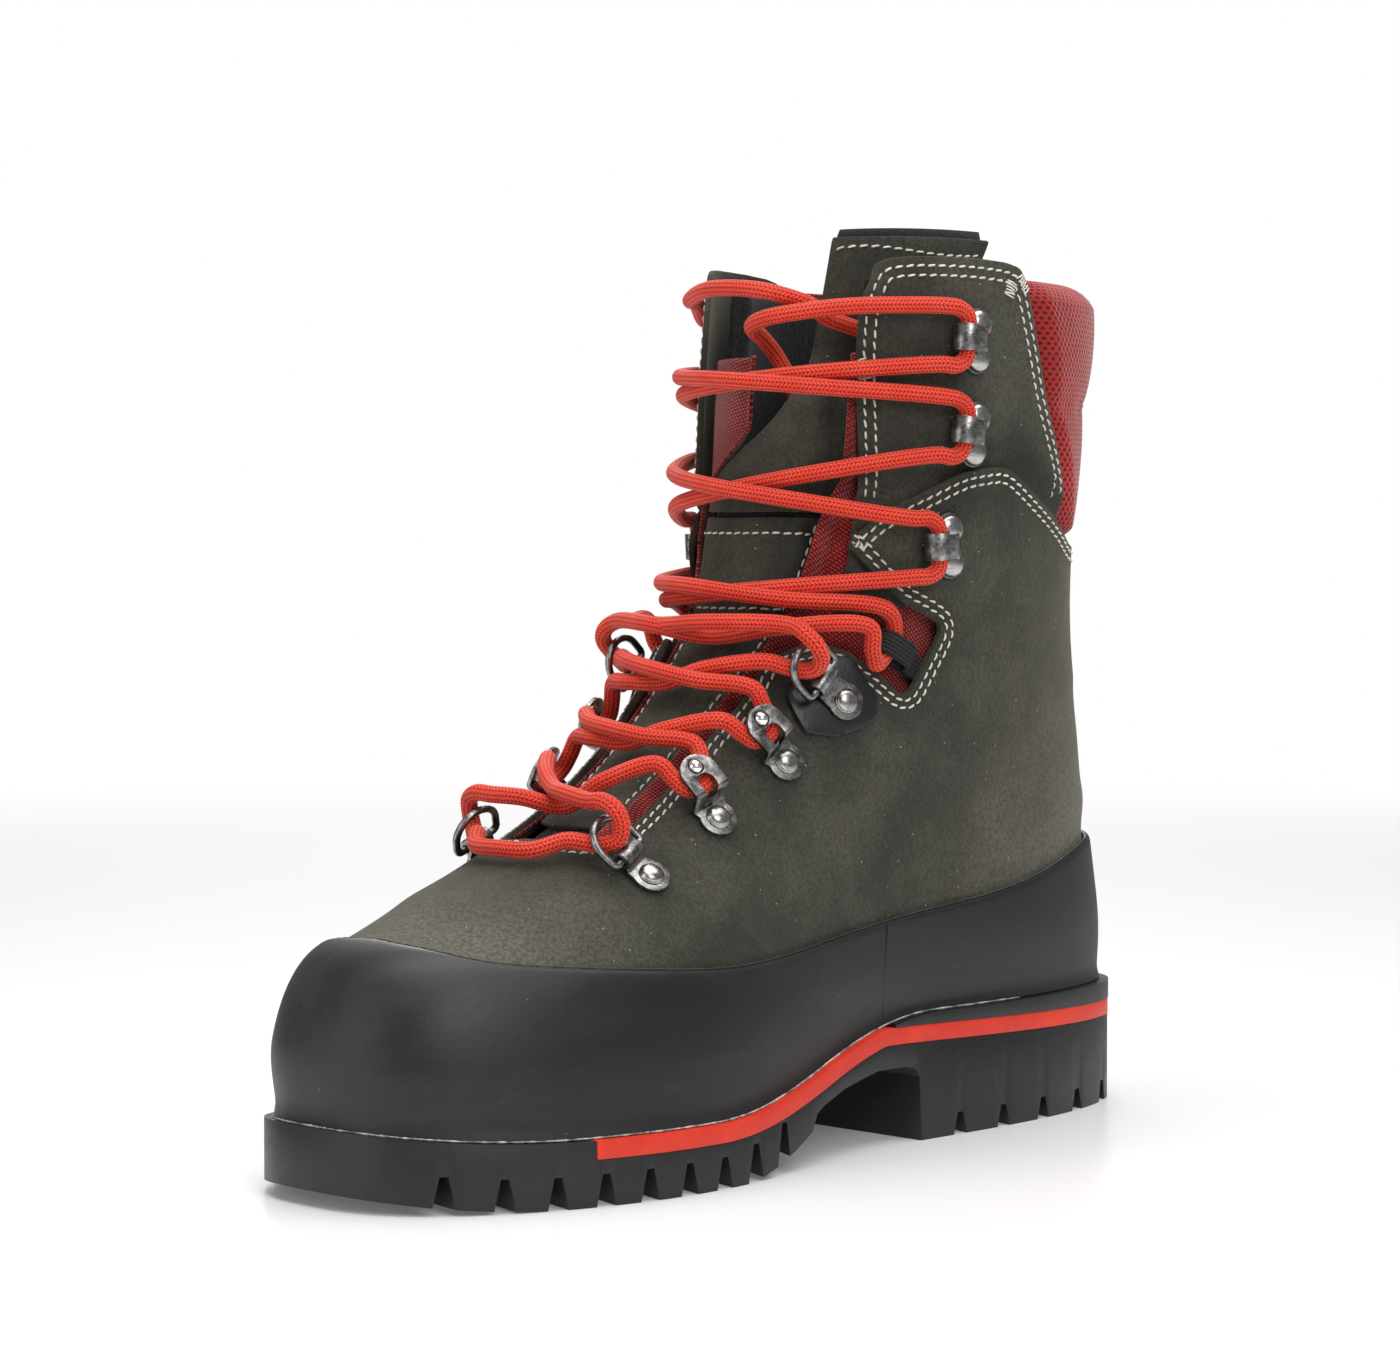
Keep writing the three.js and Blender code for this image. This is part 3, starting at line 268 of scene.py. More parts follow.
def apply_modifiers(obj):
    evaluated = obj.evaluated_get(bpy.context.evaluated_depsgraph_get())
    mesh = bpy.data.meshes.new_from_object(evaluated)
    old = obj.data
    obj.modifiers.clear()
    obj.data = mesh
    mesh.name = obj.name
    bpy.data.meshes.remove(old)


def bevel(obj, width, segments=2, angle=55):
    mod = obj.modifiers.new("bevel", "BEVEL")
    mod.width = width * MM
    mod.segments = segments
    mod.limit_method = "ANGLE"
    mod.angle_limit = math.radians(angle)


def thicken(obj, thickness, rim=0.0):
    """Thickness inwards, and rounded edges where rim isn't 0."""
    solid = obj.modifiers.new("solid", "SOLIDIFY")
    solid.thickness = thickness * MM
    solid.offset = -1.0
    solid.use_even_offset = False
    if rim:
        bevel(obj, rim)
    return obj


def repaint(obj, material):
    obj.data.materials.clear()
    obj.data.materials.append(material)


def lengths(points):
    """Distance along a line, at each of its points."""
    return np.r_[0, np.cumsum(np.linalg.norm(np.diff(points, axis=0), axis=1))]


def at_lengths(s, d, points):
    """The points at distances s along a line whose own points are at distances d."""
    return np.stack([np.interp(s, d, points[:, k]) for k in range(points.shape[1])], -1)


def sheet(name, deg, v, offset, material):
    """A sheet over (deg, v), columns by rows, with its uv map measured along it."""
    deg, v = np.broadcast_arrays(deg, v)
    pts = off(deg, v, offset(deg, v))
    cols, rows = deg.shape
    u = np.vstack([np.zeros((1, rows)), np.cumsum(np.linalg.norm(np.diff(pts, axis=0), axis=-1), 0)])
    w = np.hstack([np.zeros((cols, 1)), np.cumsum(np.linalg.norm(np.diff(pts, axis=1), axis=-1), 1)])
    uv = np.stack([u - u[cols // 2], w], -1).reshape(-1, 2)
    return make(name, pts.reshape(-1, 3), net(cols, rows), material, uv=uv)


def resample(points, step, closed=True):
    """Points at even steps along a polyline."""
    p = np.asarray(points, float)
    if closed:
        p = np.vstack([p, p[:1]])
    d = lengths(p)
    count = max(3, int(round(d[-1] / step)))
    out = at_lengths(np.linspace(0, d[-1], count + 1), d, p)
    return out[:-1] if closed else out


def invert(target, axes, deg, v):
    """(deg, v) where the surface's chosen two coordinates meet the targets, by Newton steps."""
    target = np.asarray(target, float)
    deg = deg + np.zeros(len(target))
    v = v + np.zeros(len(target))
    for _ in range(40):
        here = surf(deg, v)[:, axes]
        miss = target - here
        du = (surf(deg + 0.2, v)[:, axes] - here) / 0.2
        dv = (surf(deg, v + 0.001)[:, axes] - here) / 0.001
        det = du[:, 0] * dv[:, 1] - du[:, 1] * dv[:, 0]
        det = np.where(np.abs(det) < 1e-6, 1e-6, det)
        step_d = (miss[:, 0] * dv[:, 1] - miss[:, 1] * dv[:, 0]) / det
        step_v = (du[:, 0] * miss[:, 1] - du[:, 1] * miss[:, 0]) / det
        deg = deg + np.clip(step_d, -6, 6)
        v = np.clip(v + np.clip(step_v, -0.04, 0.04), 0.02, 1.08)
    return np.stack([deg, v], 1)


FLAT = np.array([1.25, 300.0])          # (deg, v) to roughly millimetres


def rounded(path, radius, closed=True, step=1.0):
    """A line of (deg, v) points, smoothed by averaging it over a length of 2 radius."""
    p = resample(np.asarray(path) * FLAT, step, closed)
    k = max(1, int(radius / step))
    if closed:
        out = sum(np.roll(p, j, axis=0) for j in range(-k, k + 1)) / (2 * k + 1)
    else:
        last = len(p) - 1
        out = sum(p[np.clip(np.arange(last + 1) + j, 0, last)] for j in range(-k, k + 1)) / (2 * k + 1)
        out[0], out[-1] = p[0], p[-1]
    return out / FLAT


def evenly(path):
    return resample(path * FLAT, 1.0, closed=False) / FLAT


def inside_points(outline, step):
    """A triangular lattice of points inside a closed outline, clear of it."""
    lo, hi = outline.min(0), outline.max(0)
    ys = np.arange(lo[1], hi[1], step * 0.87)
    gx, gy = np.meshgrid(np.arange(lo[0], hi[0], step), ys)
    gx = gx + (np.arange(len(ys)) % 2)[:, None] * step / 2
    lattice = np.stack([gx.ravel(), gy.ravel()], 1)
    a, b = outline[None], np.roll(outline, -1, axis=0)[None]
    kept = []
    for k in range(0, len(lattice), 4000):
        p = lattice[k:k + 4000, None]
        spans = (a[..., 1] > p[..., 1]) != (b[..., 1] > p[..., 1])
        with np.errstate(divide="ignore", invalid="ignore"):
            cross = (b - a)[..., 0] * (p - a)[..., 1] / (b - a)[..., 1] + a[..., 0]
        odd = (spans & (p[..., 0] < cross)).sum(1) % 2 == 1
        clear = np.linalg.norm(p - a, axis=2).min(1) > step * 0.55
        kept.append(p[odd & clear, 0])
    return np.vstack(kept)


def panel(name, loop, outer, thickness, material, step=2.2, rim=0.4):
    """A sheet cut to a loop of (deg, v) points on the surface, then thickened inwards."""
    outline = resample(np.asarray(loop) * FLAT, step * 0.7)
    n = len(outline)
    points = np.vstack([outline, inside_points(outline, step)])
    edges = [(i, (i + 1) % n) for i in range(n)]
    result = delaunay_2d_cdt([Vector(p) for p in points], edges, [], 1, 1e-5)
    flat = np.array([tuple(p) for p in result[0]])
    deg, v = (flat / FLAT).T
    obj = make(name, off(deg, v, outer(deg, v)), result[2], material, uv=flat)
    # Faces point outwards, so that the thickness goes inwards.
    inwards = 0
    for p in list(obj.data.polygons)[::50]:
        axis = Vector((0, p.center.y * 0.5 + 0.02, min(p.center.z, 0.1)))
        inwards += 1 if (p.center - axis).dot(p.normal) < 0 else -1
    if inwards > 0:
        obj.data.flip_normals()
    return thicken(obj, thickness, rim)


def inward_path(path, distance, side):
    """A line of (deg, v) points shifted along the surface by a distance, to one side of its heading."""
    deg, v = np.asarray(path, float).T
    p = surf(deg, v)
    t = np.gradient(p, axis=0)
    t /= np.linalg.norm(t, axis=1, keepdims=True) + 1e-9
    move = np.cross(normal(deg, v), t) * side * distance
    du = (surf(deg + 0.2, v) - p) / 0.2
    dv = (surf(deg, v + 0.001) - p) / 0.001
    guu, guv, gvv = (du * du).sum(1), (du * dv).sum(1), (dv * dv).sum(1)
    mu, mv = (du * move).sum(1), (dv * move).sum(1)
    det = guu * gvv - guv ** 2 + 1e-9
    return path + np.stack([(gvv * mu - guv * mv) / det, (guu * mv - guv * mu) / det], 1)


# ---------------------------------------------------------------- stitches
# All the stitches are collected here and become one piece at the end.
thread_verts, thread_faces = [], []
THREAD_SIDES = 6
STITCH, STITCH_GAP, STITCH_RADIUS, STITCH_LIFT = 2.5, 0.75, 0.3, 0.12
STITCH_RISE = np.array([-0.32, 0.02, 0.12, 0.12, 0.02, -0.32]) + STITCH_LIFT
STITCH_WIDTH = np.array([0.45, 0.92, 1.0, 1.0, 0.92, 0.45]) * STITCH_RADIUS
STITCH_LEAN = 0.16
TACK_RADIUS = 0.288


def add_thread(centres, across, outward, wide, high):
    """One closed piece of thread: a ring of points about each centre."""
    angle = 2 * math.pi * np.arange(THREAD_SIDES) / THREAD_SIDES
    base, last = len(thread_verts), len(centres) - 1
    for c, b, m, w, h in zip(centres, across, outward, wide, high):
        thread_verts.extend(c + np.outer(np.cos(angle) * w, b) + np.outer(np.sin(angle) * h, m))
    thread_faces.extend(net(last + 1, THREAD_SIDES, base, around=True, flip=True))
    thread_faces.append(tuple(base + a for a in reversed(range(THREAD_SIDES))))
    thread_faces.append(tuple(base + last * THREAD_SIDES + a for a in range(THREAD_SIDES)))


def stitches(path, outer, seed):
    """A row of stitches along a line of (deg, v) points."""
    deg, v = np.asarray(path, float).T
    p, n = off(deg, v, outer(deg, v)), normal(deg, v)
    d = lengths(p)
    rng = np.random.default_rng(seed)
    count = int(d[-1] / (STITCH + STITCH_GAP))
    pitch = d[-1] / count
    for k in range(count):
        start = k * pitch + STITCH_GAP / 2
        s = np.linspace(start, start + pitch - STITCH_GAP, len(STITCH_RISE))
        c, m = at_lengths(s, d, p), at_lengths(s, d, n)
        m /= np.linalg.norm(m, axis=1, keepdims=True)
        t = c[-1] - c[0]
        t /= np.linalg.norm(t) + 1e-9
        b = np.cross(m, t)
        b /= np.linalg.norm(b, axis=1, keepdims=True)
        lean = np.linspace(-1, 1, len(s)) * (STITCH_LEAN + rng.normal(0, 0.06))
        centres = c + m * STITCH_RISE[:, None] + b * lean[:, None]
        add_thread(centres, b, m, STITCH_WIDTH * 1.15, STITCH_WIDTH * 0.85)


def bartack(path, outer, width, seed, count=6):
    """A short bar of crossing threads over a line's end."""
    deg, v = np.asarray(path, float).T
    p, n = off(deg, v, outer(deg, v) + 0.25), normal(deg, v)
    rng = np.random.default_rng(seed)
    d = lengths(p)
    t = (p[-1] - p[0]) / np.linalg.norm(p[-1] - p[0])
    for k in range(count):
        s = d[-1] * (k + 0.5) / count
        c, m = at_lengths(s, d, p), at_lengths(s, d, n)
        b = np.cross(m, t)
        ends = [c + way * b * width * (0.5 + 0.15 * rng.random()) + t * rng.normal(0, 0.3) for way in (-1, 1)]
        pts = np.array([ends[0], c + m * 0.2, ends[1]])
        heading = pts[[1, 2, 2]] - pts[[0, 0, 1]]
        heading /= np.linalg.norm(heading, axis=1, keepdims=True) + 1e-9
        across = np.cross(heading, np.array([0.3, 0.2, 0.93]))
        across /= np.linalg.norm(across, axis=1, keepdims=True)
        round_ = [TACK_RADIUS] * len(pts)
        add_thread(pts, across, np.cross(across, heading), round_, round_)


def tube(name, points, radius, material, sides=24, closed=False, body=ROOT):
    """A round tube along points, with uv = (length, way round), both in millimetres."""
    p = np.asarray(points, float)
    n = len(p)
    t = np.roll(p, -1, 0) - np.roll(p, 1, 0) if closed else np.gradient(p, axis=0)
    t /= np.linalg.norm(t, axis=1, keepdims=True)
    b = np.cross(t[0], (0, 0, 1) if closed else (0.1, 0.2, 1.0))
    b /= np.linalg.norm(b)
    d = lengths(p)
    radius = np.broadcast_to(np.asarray(radius, float), (n,))
    around = 2 * np.pi * np.arange(sides + (0 if closed else 1)) / sides
    verts, uv = [], []
    for i in range(n):
        b = b - t[i] * np.dot(b, t[i])
        b /= np.linalg.norm(b)
        m = np.cross(t[i], b)
        verts.append(p[i] + radius[i] * (np.outer(np.cos(around), b) + np.outer(np.sin(around), m)))
        uv.append(np.stack([np.full(len(around), d[i]), around * radius[i]], 1))
    faces = net(n, len(around), around=closed, joined=closed)
    obj = make(name, np.vstack(verts), faces, material, uv=np.vstack(uv), ride=body)
    return edit(obj, outwards) if closed else edit(obj, weld(1e-7), fill_holes, outwards)


# ---------------------------------------------------------------- materials
class Nodes:
    """A small helper for building a material's nodes."""

    def __init__(self, name):
        self.mat = bpy.data.materials.new(name)
        self.mat.use_nodes = True
        self.tree = self.mat.node_tree
        self.tree.nodes.clear()
        self.bsdf = self.node("BsdfPrincipled")
        self.tree.links.new(self.bsdf.outputs[0], self.node("OutputMaterial").inputs[0])
        coord = self.node("TexCoord")
        self.pos = coord.outputs["Object"]
        self.uv = coord.outputs["UV"]

    def node(self, kind, **values):
        node = self.tree.nodes.new("ShaderNode" + kind)
        for key, value in values.items():
            self.put(node.inputs[key.replace("_", " ")], value)
        return node

    def put(self, socket, value):
        if isinstance(value, bpy.types.NodeSocket):
            self.tree.links.new(value, socket)
        else:
            socket.default_value = value

    def set(self, **values):
        for key, value in values.items():
            self.put(self.bsdf.inputs[key.replace("_", " ")], value)
        return self.mat

    def noise(self, scale, detail=4.0, rough=0.55, stretch=None):
        vector = self.pos
        if stretch is not None:
            vector = self.node("Mapping", Scale=stretch, Vector=vector).outputs[0]
        return self.node("TexNoise", Vector=vector, Scale=scale, Detail=detail, Roughness=rough).outputs[0]

    def cells(self, scale):
        return self.node("TexVoronoi", Vector=self.pos, Scale=scale).outputs["Distance"]

    def math(self, op, a, b=0.0):
        node = self.tree.nodes.new("ShaderNodeMath")
        node.operation = op
        self.put(node.inputs[0], a)
        self.put(node.inputs[1], b)
        return node.outputs[0]

    def times(self, a, b):
        return self.math("MULTIPLY", a, b)

    def plus(self, a, b):
        return self.math("ADD", a, b)

    def span(self, value, a, b, lo=0.0, hi=1.0):
        """A smooth step from lo at a to hi at b."""
        node = self.node("MapRange", Value=value, From_Min=a, From_Max=b, To_Min=lo, To_Max=hi)
        node.interpolation_type = "SMOOTHSTEP"
        return node.outputs[0]

    def mix(self, a, b, t):
        node = self.tree.nodes.new("ShaderNodeMix")
        node.data_type = "RGBA"
        self.put(node.inputs[0], t)
        for socket, value in ((6, a), (7, b)):
            self.put(node.inputs[socket], value if isinstance(value, bpy.types.NodeSocket) else (*value, 1.0))
        return node.outputs[2]

    def tint(self, colour, other, mask, amount):
        return self.mix(colour, other, self.times(mask, amount))

    def split(self, vector):
        return self.node("SeparateXYZ", Vector=vector).outputs

    def bump(self, height, distance, strength):
        return self.node("Bump", Strength=strength, Distance=distance, Height=height).outputs[0]


def suede_material(name, dark=(0.030, 0.0295, 0.0235), light=(0.068, 0.066, 0.052),
                   pale=(0.17, 0.162, 0.128)):
    """Clouded nap, paler where it is worn at the heel and the toe, with a few specks."""
    n = Nodes(name)
    cloud, broad = n.noise(28, 5, 0.6), n.noise(9, 3, 0.5)
    nap, fine, brushed = n.noise(900, 3, 0.7), n.noise(2600, 2, 0.8), n.noise(260, 4, 0.75)
    colour = n.mix(dark, light, n.span(cloud, 0.34, 0.68))
    at = n.split(n.pos)
    heel = n.times(n.span(at[1], 0.02, 0.13), n.span(at[2], 0.16, 0.06))
    toe = n.times(n.span(at[1], -0.07, -0.12), n.span(at[2], 0.10, 0.06))
    worn = n.times(n.math("MAXIMUM", heel, toe), n.span(broad, 0.32, 0.66))
    colour = n.tint(colour, pale, worn, 0.75)
    colour = n.tint(colour, (0.02, 0.02, 0.015), n.span(nap, 0.62, 0.36), 0.55)
    colour = n.tint(colour, pale, n.span(fine, 0.60, 0.76), 0.55)
    specks, chance = n.span(n.cells(420), 0.085, 0.05), n.span(n.noise(180, 1, 0.5), 0.56, 0.62)
    colour = n.tint(colour, (0.62, 0.58, 0.44), specks, chance)
    height = n.plus(n.plus(n.times(nap, 0.7), n.times(brushed, 0.6)), n.times(fine, 0.35))
    return n.set(Base_Color=colour, Roughness=0.95, Specular_IOR_Level=0.15, Sheen_Weight=0.2,
                 Sheen_Roughness=0.45, Sheen_Tint=(0.75, 0.72, 0.6, 1), Normal=n.bump(height, 0.00035, 0.9))


def rubber_material(name, base, dusty, rough, grain):
    n = Nodes(name)
    smear = n.noise(22, 6, 0.62, stretch=(1, 0.45, 1.6))
    scuff = n.noise(240, 3, 0.6, stretch=(1, 0.25, 1))
    dust = n.times(n.span(n.cells(300), 0.05, 0.02), n.span(n.noise(60, 1, 0.5), 0.60, 0.66))
    colour = n.tint(base, dusty, n.span(smear, 0.42, 0.78), 0.75)
    colour = n.tint(colour, dusty, n.span(scuff, 0.58, 0.8), 0.35)
    colour = n.tint(colour, (0.4, 0.4, 0.38), dust, 0.8)
    height = n.plus(n.noise(1600, 2, 0.6), n.times(scuff, 0.7))
    return n.set(Base_Color=colour, Roughness=n.span(smear, 0.3, 0.75, *rough), Specular_IOR_Level=0.42,
                 Normal=n.bump(height, grain, 0.8))


def red_rubber_material(name):
    n = Nodes(name)
    cloud, fine = n.noise(60, 4, 0.6), n.noise(1500, 3, 0.7)
    colour = n.mix((0.60, 0.028, 0.012), (0.74, 0.045, 0.02), n.span(cloud, 0.35, 0.7))
    colour = n.tint(colour, (0.42, 0.02, 0.01), n.span(fine, 0.62, 0.75), 0.35)
    return n.set(Base_Color=colour, Roughness=n.span(cloud, 0.3, 0.7, 0.45, 0.62), Specular_IOR_Level=0.35,
                 Normal=n.bump(fine, 0.00012, 0.7))


def staggered(n, pitch_u, pitch_v, shape_u, shape_v):
    """Distance from the centre of staggered cells laid over the uv map, which is in millimetres."""
    uv = n.split(n.uv)
    v = n.math("DIVIDE", uv[1], pitch_v)
    odd = n.math("MODULO", n.math("ABSOLUTE", n.math("FLOOR", v)), 2.0)
    u = n.plus(n.math("DIVIDE", uv[0], pitch_u), n.times(odd, 0.5))
    fu = n.math("DIVIDE", n.math("SUBTRACT", n.math("FRACT", u), 0.5), shape_u)
    fv = n.math("DIVIDE", n.math("SUBTRACT", n.math("FRACT", v), 0.5), shape_v)
    return n.math("SQRT", n.plus(n.times(fu, fu), n.times(fv, fv)))


def weave_material(name):
    n = Nodes(name)
    d = staggered(n, 1.55, 1.05, 0.52, 0.47)
    cloud, hair = n.noise(90, 3, 0.5), n.noise(2400, 2, 0.6)
    thread = n.mix((0.36, 0.016, 0.012), (0.52, 0.03, 0.022), n.span(cloud, 0.4, 0.7))
    thread = n.tint(thread, (0.22, 0.008, 0.006), n.span(hair, 0.6, 0.4), 0.5)
    height = n.plus(n.span(d, 1.1, 0.0), n.times(hair, 0.12))
    return n.set(Base_Color=n.mix((0.010, 0.003, 0.003), thread, n.span(d, 1.0, 0.72)), Roughness=0.85,
                 Specular_IOR_Level=0.2, Sheen_Weight=0.25, Sheen_Roughness=0.5,
                 Normal=n.bump(height, 0.0004, 0.9))


def dotted_mesh_material(name):
    n = Nodes(name)
    d = staggered(n, 2.0, 1.45, 0.30, 0.34)
    hair, cloud = n.noise(2200, 2, 0.6), n.noise(45, 3, 0.5)
    base = n.mix((0.34, 0.018, 0.015), (0.50, 0.035, 0.03), n.span(cloud, 0.35, 0.7))
    base = n.tint(base, (0.25, 0.01, 0.008), n.span(hair, 0.62, 0.4), 0.4)
    height = n.plus(n.span(d, 0.5, 1.3), n.times(hair, 0.15))
    return n.set(Base_Color=n.tint(base, (0.05, 0.004, 0.004), n.span(d, 1.15, 0.75), 0.9), Roughness=0.8,
                 Specular_IOR_Level=0.25, Sheen_Weight=0.3, Sheen_Roughness=0.4,
                 Normal=n.bump(height, 0.00045, 0.8))


def fleece_material(name, base, light):
    n = Nodes(name)
    curl, fine, cloud = n.noise(700, 4, 0.75), n.noise(2500, 2, 0.8), n.noise(40, 3, 0.5)
    colour = n.mix(base, light, n.span(curl, 0.45, 0.72))
    colour = n.tint(colour, (0.045, 0.045, 0.047), n.span(fine, 0.66, 0.8), 0.6)
    colour = n.tint(colour, base, n.span(cloud, 0.6, 0.4), 0.4)
    return n.set(Base_Color=colour, Roughness=0.97, Specular_IOR_Level=0.08, Sheen_Weight=0.12,
                 Sheen_Roughness=0.5, Normal=n.bump(n.plus(curl, n.times(fine, 0.5)), 0.0006, 1.0))


def webbing_material(name):
    n = Nodes(name)
    uv = n.split(n.uv)
    rib = n.math("SINE", n.times(uv[0], 5.6))
    cross = n.math("SINE", n.plus(n.times(uv[1], 7.5), n.times(n.math("SIGN", rib), 1.57)))
    h = n.plus(n.times(rib, 0.5), n.times(cross, 0.5))
    # Painted shade: the colour follows the weave's relief, darker in the grooves between ribs and lighter on
    # their crests.
    colour = n.mix((0.006, 0.006, 0.007), (0.035, 0.035, 0.037), n.span(h, -0.6, 0.8))
    colour = n.tint(colour, (0.07, 0.07, 0.072), n.span(n.noise(2200, 2, 0.7), 0.62, 0.78), 0.5)
    return n.set(Base_Color=colour, Roughness=0.85, Specular_IOR_Level=0.25, Normal=n.bump(h, 0.0003, 0.8))


LACE_RADIUS = 2.42
BRAID_RIBS, BRAID_PITCH, BRAID_SLANT = 12.0, 1.15, 0.95


def lace_material(name):
    """A round braid: ribs along the lace, whose strands slant left and right by turns."""
    n = Nodes(name)
    uv = n.split(n.uv)
    way = n.times(uv[1], BRAID_RIBS / (2 * math.pi * (LACE_RADIUS + 0.03)))
    inside = n.math("SUBTRACT", n.math("FRACT", way), 0.5)
    odd = n.math("MODULO", n.math("ABSOLUTE", n.math("FLOOR", way)), 2.0)
    slant = n.times(n.times(inside, n.math("SUBTRACT", n.times(odd, 2.0), 1.0)), BRAID_SLANT)
    along = n.math("FRACT", n.plus(n.math("DIVIDE", uv[0], BRAID_PITCH), slant))
    lobe = n.math("POWER", n.math("SINE", n.times(along, math.pi)), 0.6)
    cheek = n.math("COSINE", n.times(inside, 3.0))
    h = n.times(lobe, n.plus(n.times(cheek, 0.75), 0.25))
    hair, cloud = n.noise(3000, 2, 0.6), n.noise(110, 2, 0.5)
    bright = n.mix((0.82, 0.045, 0.017), (0.90, 0.065, 0.028), n.span(cloud, 0.35, 0.7))
    # Painted shade: the colour goes dark red where the braid's height falls, in the grooves between strands,
    # and full red on the strand tops.
    colour = n.mix((0.20, 0.007, 0.004), bright, n.span(h, 0.22, 0.74))
    colour = n.tint(colour, (0.9, 0.13, 0.075), n.span(hair, 0.62, 0.8), 0.3)
    return n.set(Base_Color=colour, Roughness=0.62, Specular_IOR_Level=0.3, Sheen_Weight=0.3,
                 Sheen_Roughness=0.4, Sheen_Tint=(1.0, 0.45, 0.35, 1),
                 Normal=n.bump(n.plus(h, n.times(hair, 0.1)), 0.00032, 0.9))


def metal_material(name, base, bright, rough, patina):
    """Bright where edges stand proud, dark in the hollows."""
    n = Nodes(name)
    cloud = n.noise(240, 5, 0.65)
    fine = n.noise(1400, 3, 0.6, stretch=(1, 1, 0.3))
    scratch = n.noise(700, 3, 0.7, stretch=(0.15, 1, 1))
    raised = n.span(n.node("NewGeometry").outputs["Pointiness"], 0.44, 0.56)
    colour = n.mix(base, bright, n.times(n.span(cloud, 0.34, 0.66), raised))
    colour = n.tint(colour, (0.035, 0.034, 0.033), n.span(raised, 0.42, 0.1), patina)
    colour = n.tint(colour, (0.10, 0.098, 0.092), n.span(scratch, 0.56, 0.7), 0.5)
    return n.set(Base_Color=colour, Metallic=1.0, Roughness=n.span(fine, 0.3, 0.7, *rough),
                 Normal=n.bump(n.plus(fine, scratch), 0.00003, 0.7))


def thread_material(name):
    n = Nodes(name)
    twist, soil = n.noise(2500, 2, 0.6), n.noise(60, 3, 0.6)
    colour = n.mix((0.72, 0.70, 0.62), (0.42, 0.40, 0.34), n.span(soil, 0.52, 0.75))
    colour = n.tint(colour, (0.30, 0.29, 0.25), n.span(twist, 0.6, 0.4), 0.5)
    return n.set(Base_Color=colour, Roughness=0.8, Normal=n.bump(twist, 0.0001, 0.8))


def clouded_material(name, a, b, scale, rough, relief):
    n = Nodes(name)
    cloud, fine = n.noise(scale, 5, 0.65), n.noise(scale * 12, 2, 0.6)
    return n.set(Base_Color=n.mix(a, b, n.span(cloud, 0.35, 0.68)), Roughness=rough,
                 Normal=n.bump(n.plus(cloud, fine), relief * MM, 0.8))


SUEDE = suede_material("grey_suede")
SUEDE_EDGE = suede_material("suede_edge", (0.028, 0.028, 0.022), (0.07, 0.068, 0.055), (0.12, 0.12, 0.10))
RAND = rubber_material("rand_rubber", (0.0075, 0.0075, 0.008), (0.026, 0.026, 0.027), (0.40, 0.60), 0.00006)
SOLE = rubber_material("sole_rubber", (0.006, 0.006, 0.0065), (0.020, 0.020, 0.021), (0.36, 0.58), 0.0001)
RED = red_rubber_material("red_rubber")
WEAVE = weave_material("red_weave")
DOTTED = dotted_mesh_material("red_dotted_mesh")
FLEECE = fleece_material("black_fleece", (0.006, 0.006, 0.0065), (0.022, 0.022, 0.023))
WEBBING = webbing_material("black_webbing")
LACE = lace_material("red_braid")
METAL = metal_material("gunmetal", (0.085, 0.083, 0.080), (0.36, 0.355, 0.345), (0.24, 0.46), 0.85)
DOME = metal_material("rivet_dome", (0.22, 0.215, 0.205), (0.55, 0.54, 0.52), (0.18, 0.34), 0.95)
STEEL = metal_material("bright_steel", (0.75, 0.74, 0.72), (0.85, 0.84, 0.82), (0.08, 0.16), 0.2)
THREAD = thread_material("white_thread")
BOARD = clouded_material("lasting_board", (0.19, 0.13, 0.075), (0.28, 0.21, 0.13), 300, 0.85, 0.15)
SHANK = clouded_material("shank_plate", (0.05, 0.05, 0.052), (0.12, 0.12, 0.125), 200, 0.45, 0.05)
BED = fleece_material("footbed_cloth", (0.016, 0.017, 0.019), (0.06, 0.062, 0.068))
PLASTIC = clouded_material("aglet_plastic", (0.012, 0.012, 0.012), (0.03, 0.03, 0.03), 200, 0.3, 0.02)
GLUE = clouded_material("edge_glue", (0.10, 0.10, 0.095), (0.62, 0.60, 0.55), 260, 0.6, 0.2)


# ---------------------------------------------------------------- upper: rubber rand
RAND_FOOT = 0.0015                                  # v where the rand stands on the sole
RAND_FLAT = 30                                      # rows of its face, below the rounded top edge
RAND_ROWS = np.r_[np.linspace(0, 0.955, RAND_FLAT), 0.972, 0.985, 0.994, 1.0, 0.999, 0.99, 0.96]
RAND_SINK = np.r_[np.zeros(RAND_FLAT), 0.08, 0.32, 0.75, 1.3, 1.8, 2.1, 2.2]


def rand_piece(name, deg0, deg1, cols):
    """Outer skin, running over its rounded top edge and back."""
    deg, t = np.linspace(deg0, deg1, cols)[:, None], RAND_ROWS
    v = RAND_FOOT + (rand_top(deg) - RAND_FOOT) * t
    arch = np.sin(np.pi * np.clip(t, 0, 1))
    low = 0.9 * np.exp(-(t / 0.05) ** 2) * (t < 0.9)
    swell = 0.35 * arch * (t < 0.96)
    # The rand is pulled over the last by hand: shallow waves.
    wave = 0.16 * np.sin(deg / 7.0 + 3 * t) * np.sin(deg / 17.0 + 1.0) * arch
    verts = off(deg, v, low + swell - RAND_SINK + wave).reshape(-1, 3)
    return make(name, verts, net(cols, len(t)), RAND, uv=verts[:, 1:])


def edge_bead(name, reach, v_at, offset, radius, material, count=900):
    """A thin uneven bead of glue or trimmed edge along a line round the toe."""
    deg = np.linspace(-reach, reach, count)
    rng = np.random.default_rng(5)
    rough = np.convolve(rng.normal(0, 1, count + 8), np.ones(5) / 5, "same")[4:-4]
    width = np.convolve(rng.normal(0, 1, count + 8), np.ones(3) / 3, "same")[4:-4]
    pts = off(deg, v_at(deg), offset + 0.12 * rough)
    return tube(name, pts, radius * (1 + 0.3 * width).clip(0.4, 1.6), material, sides=6)


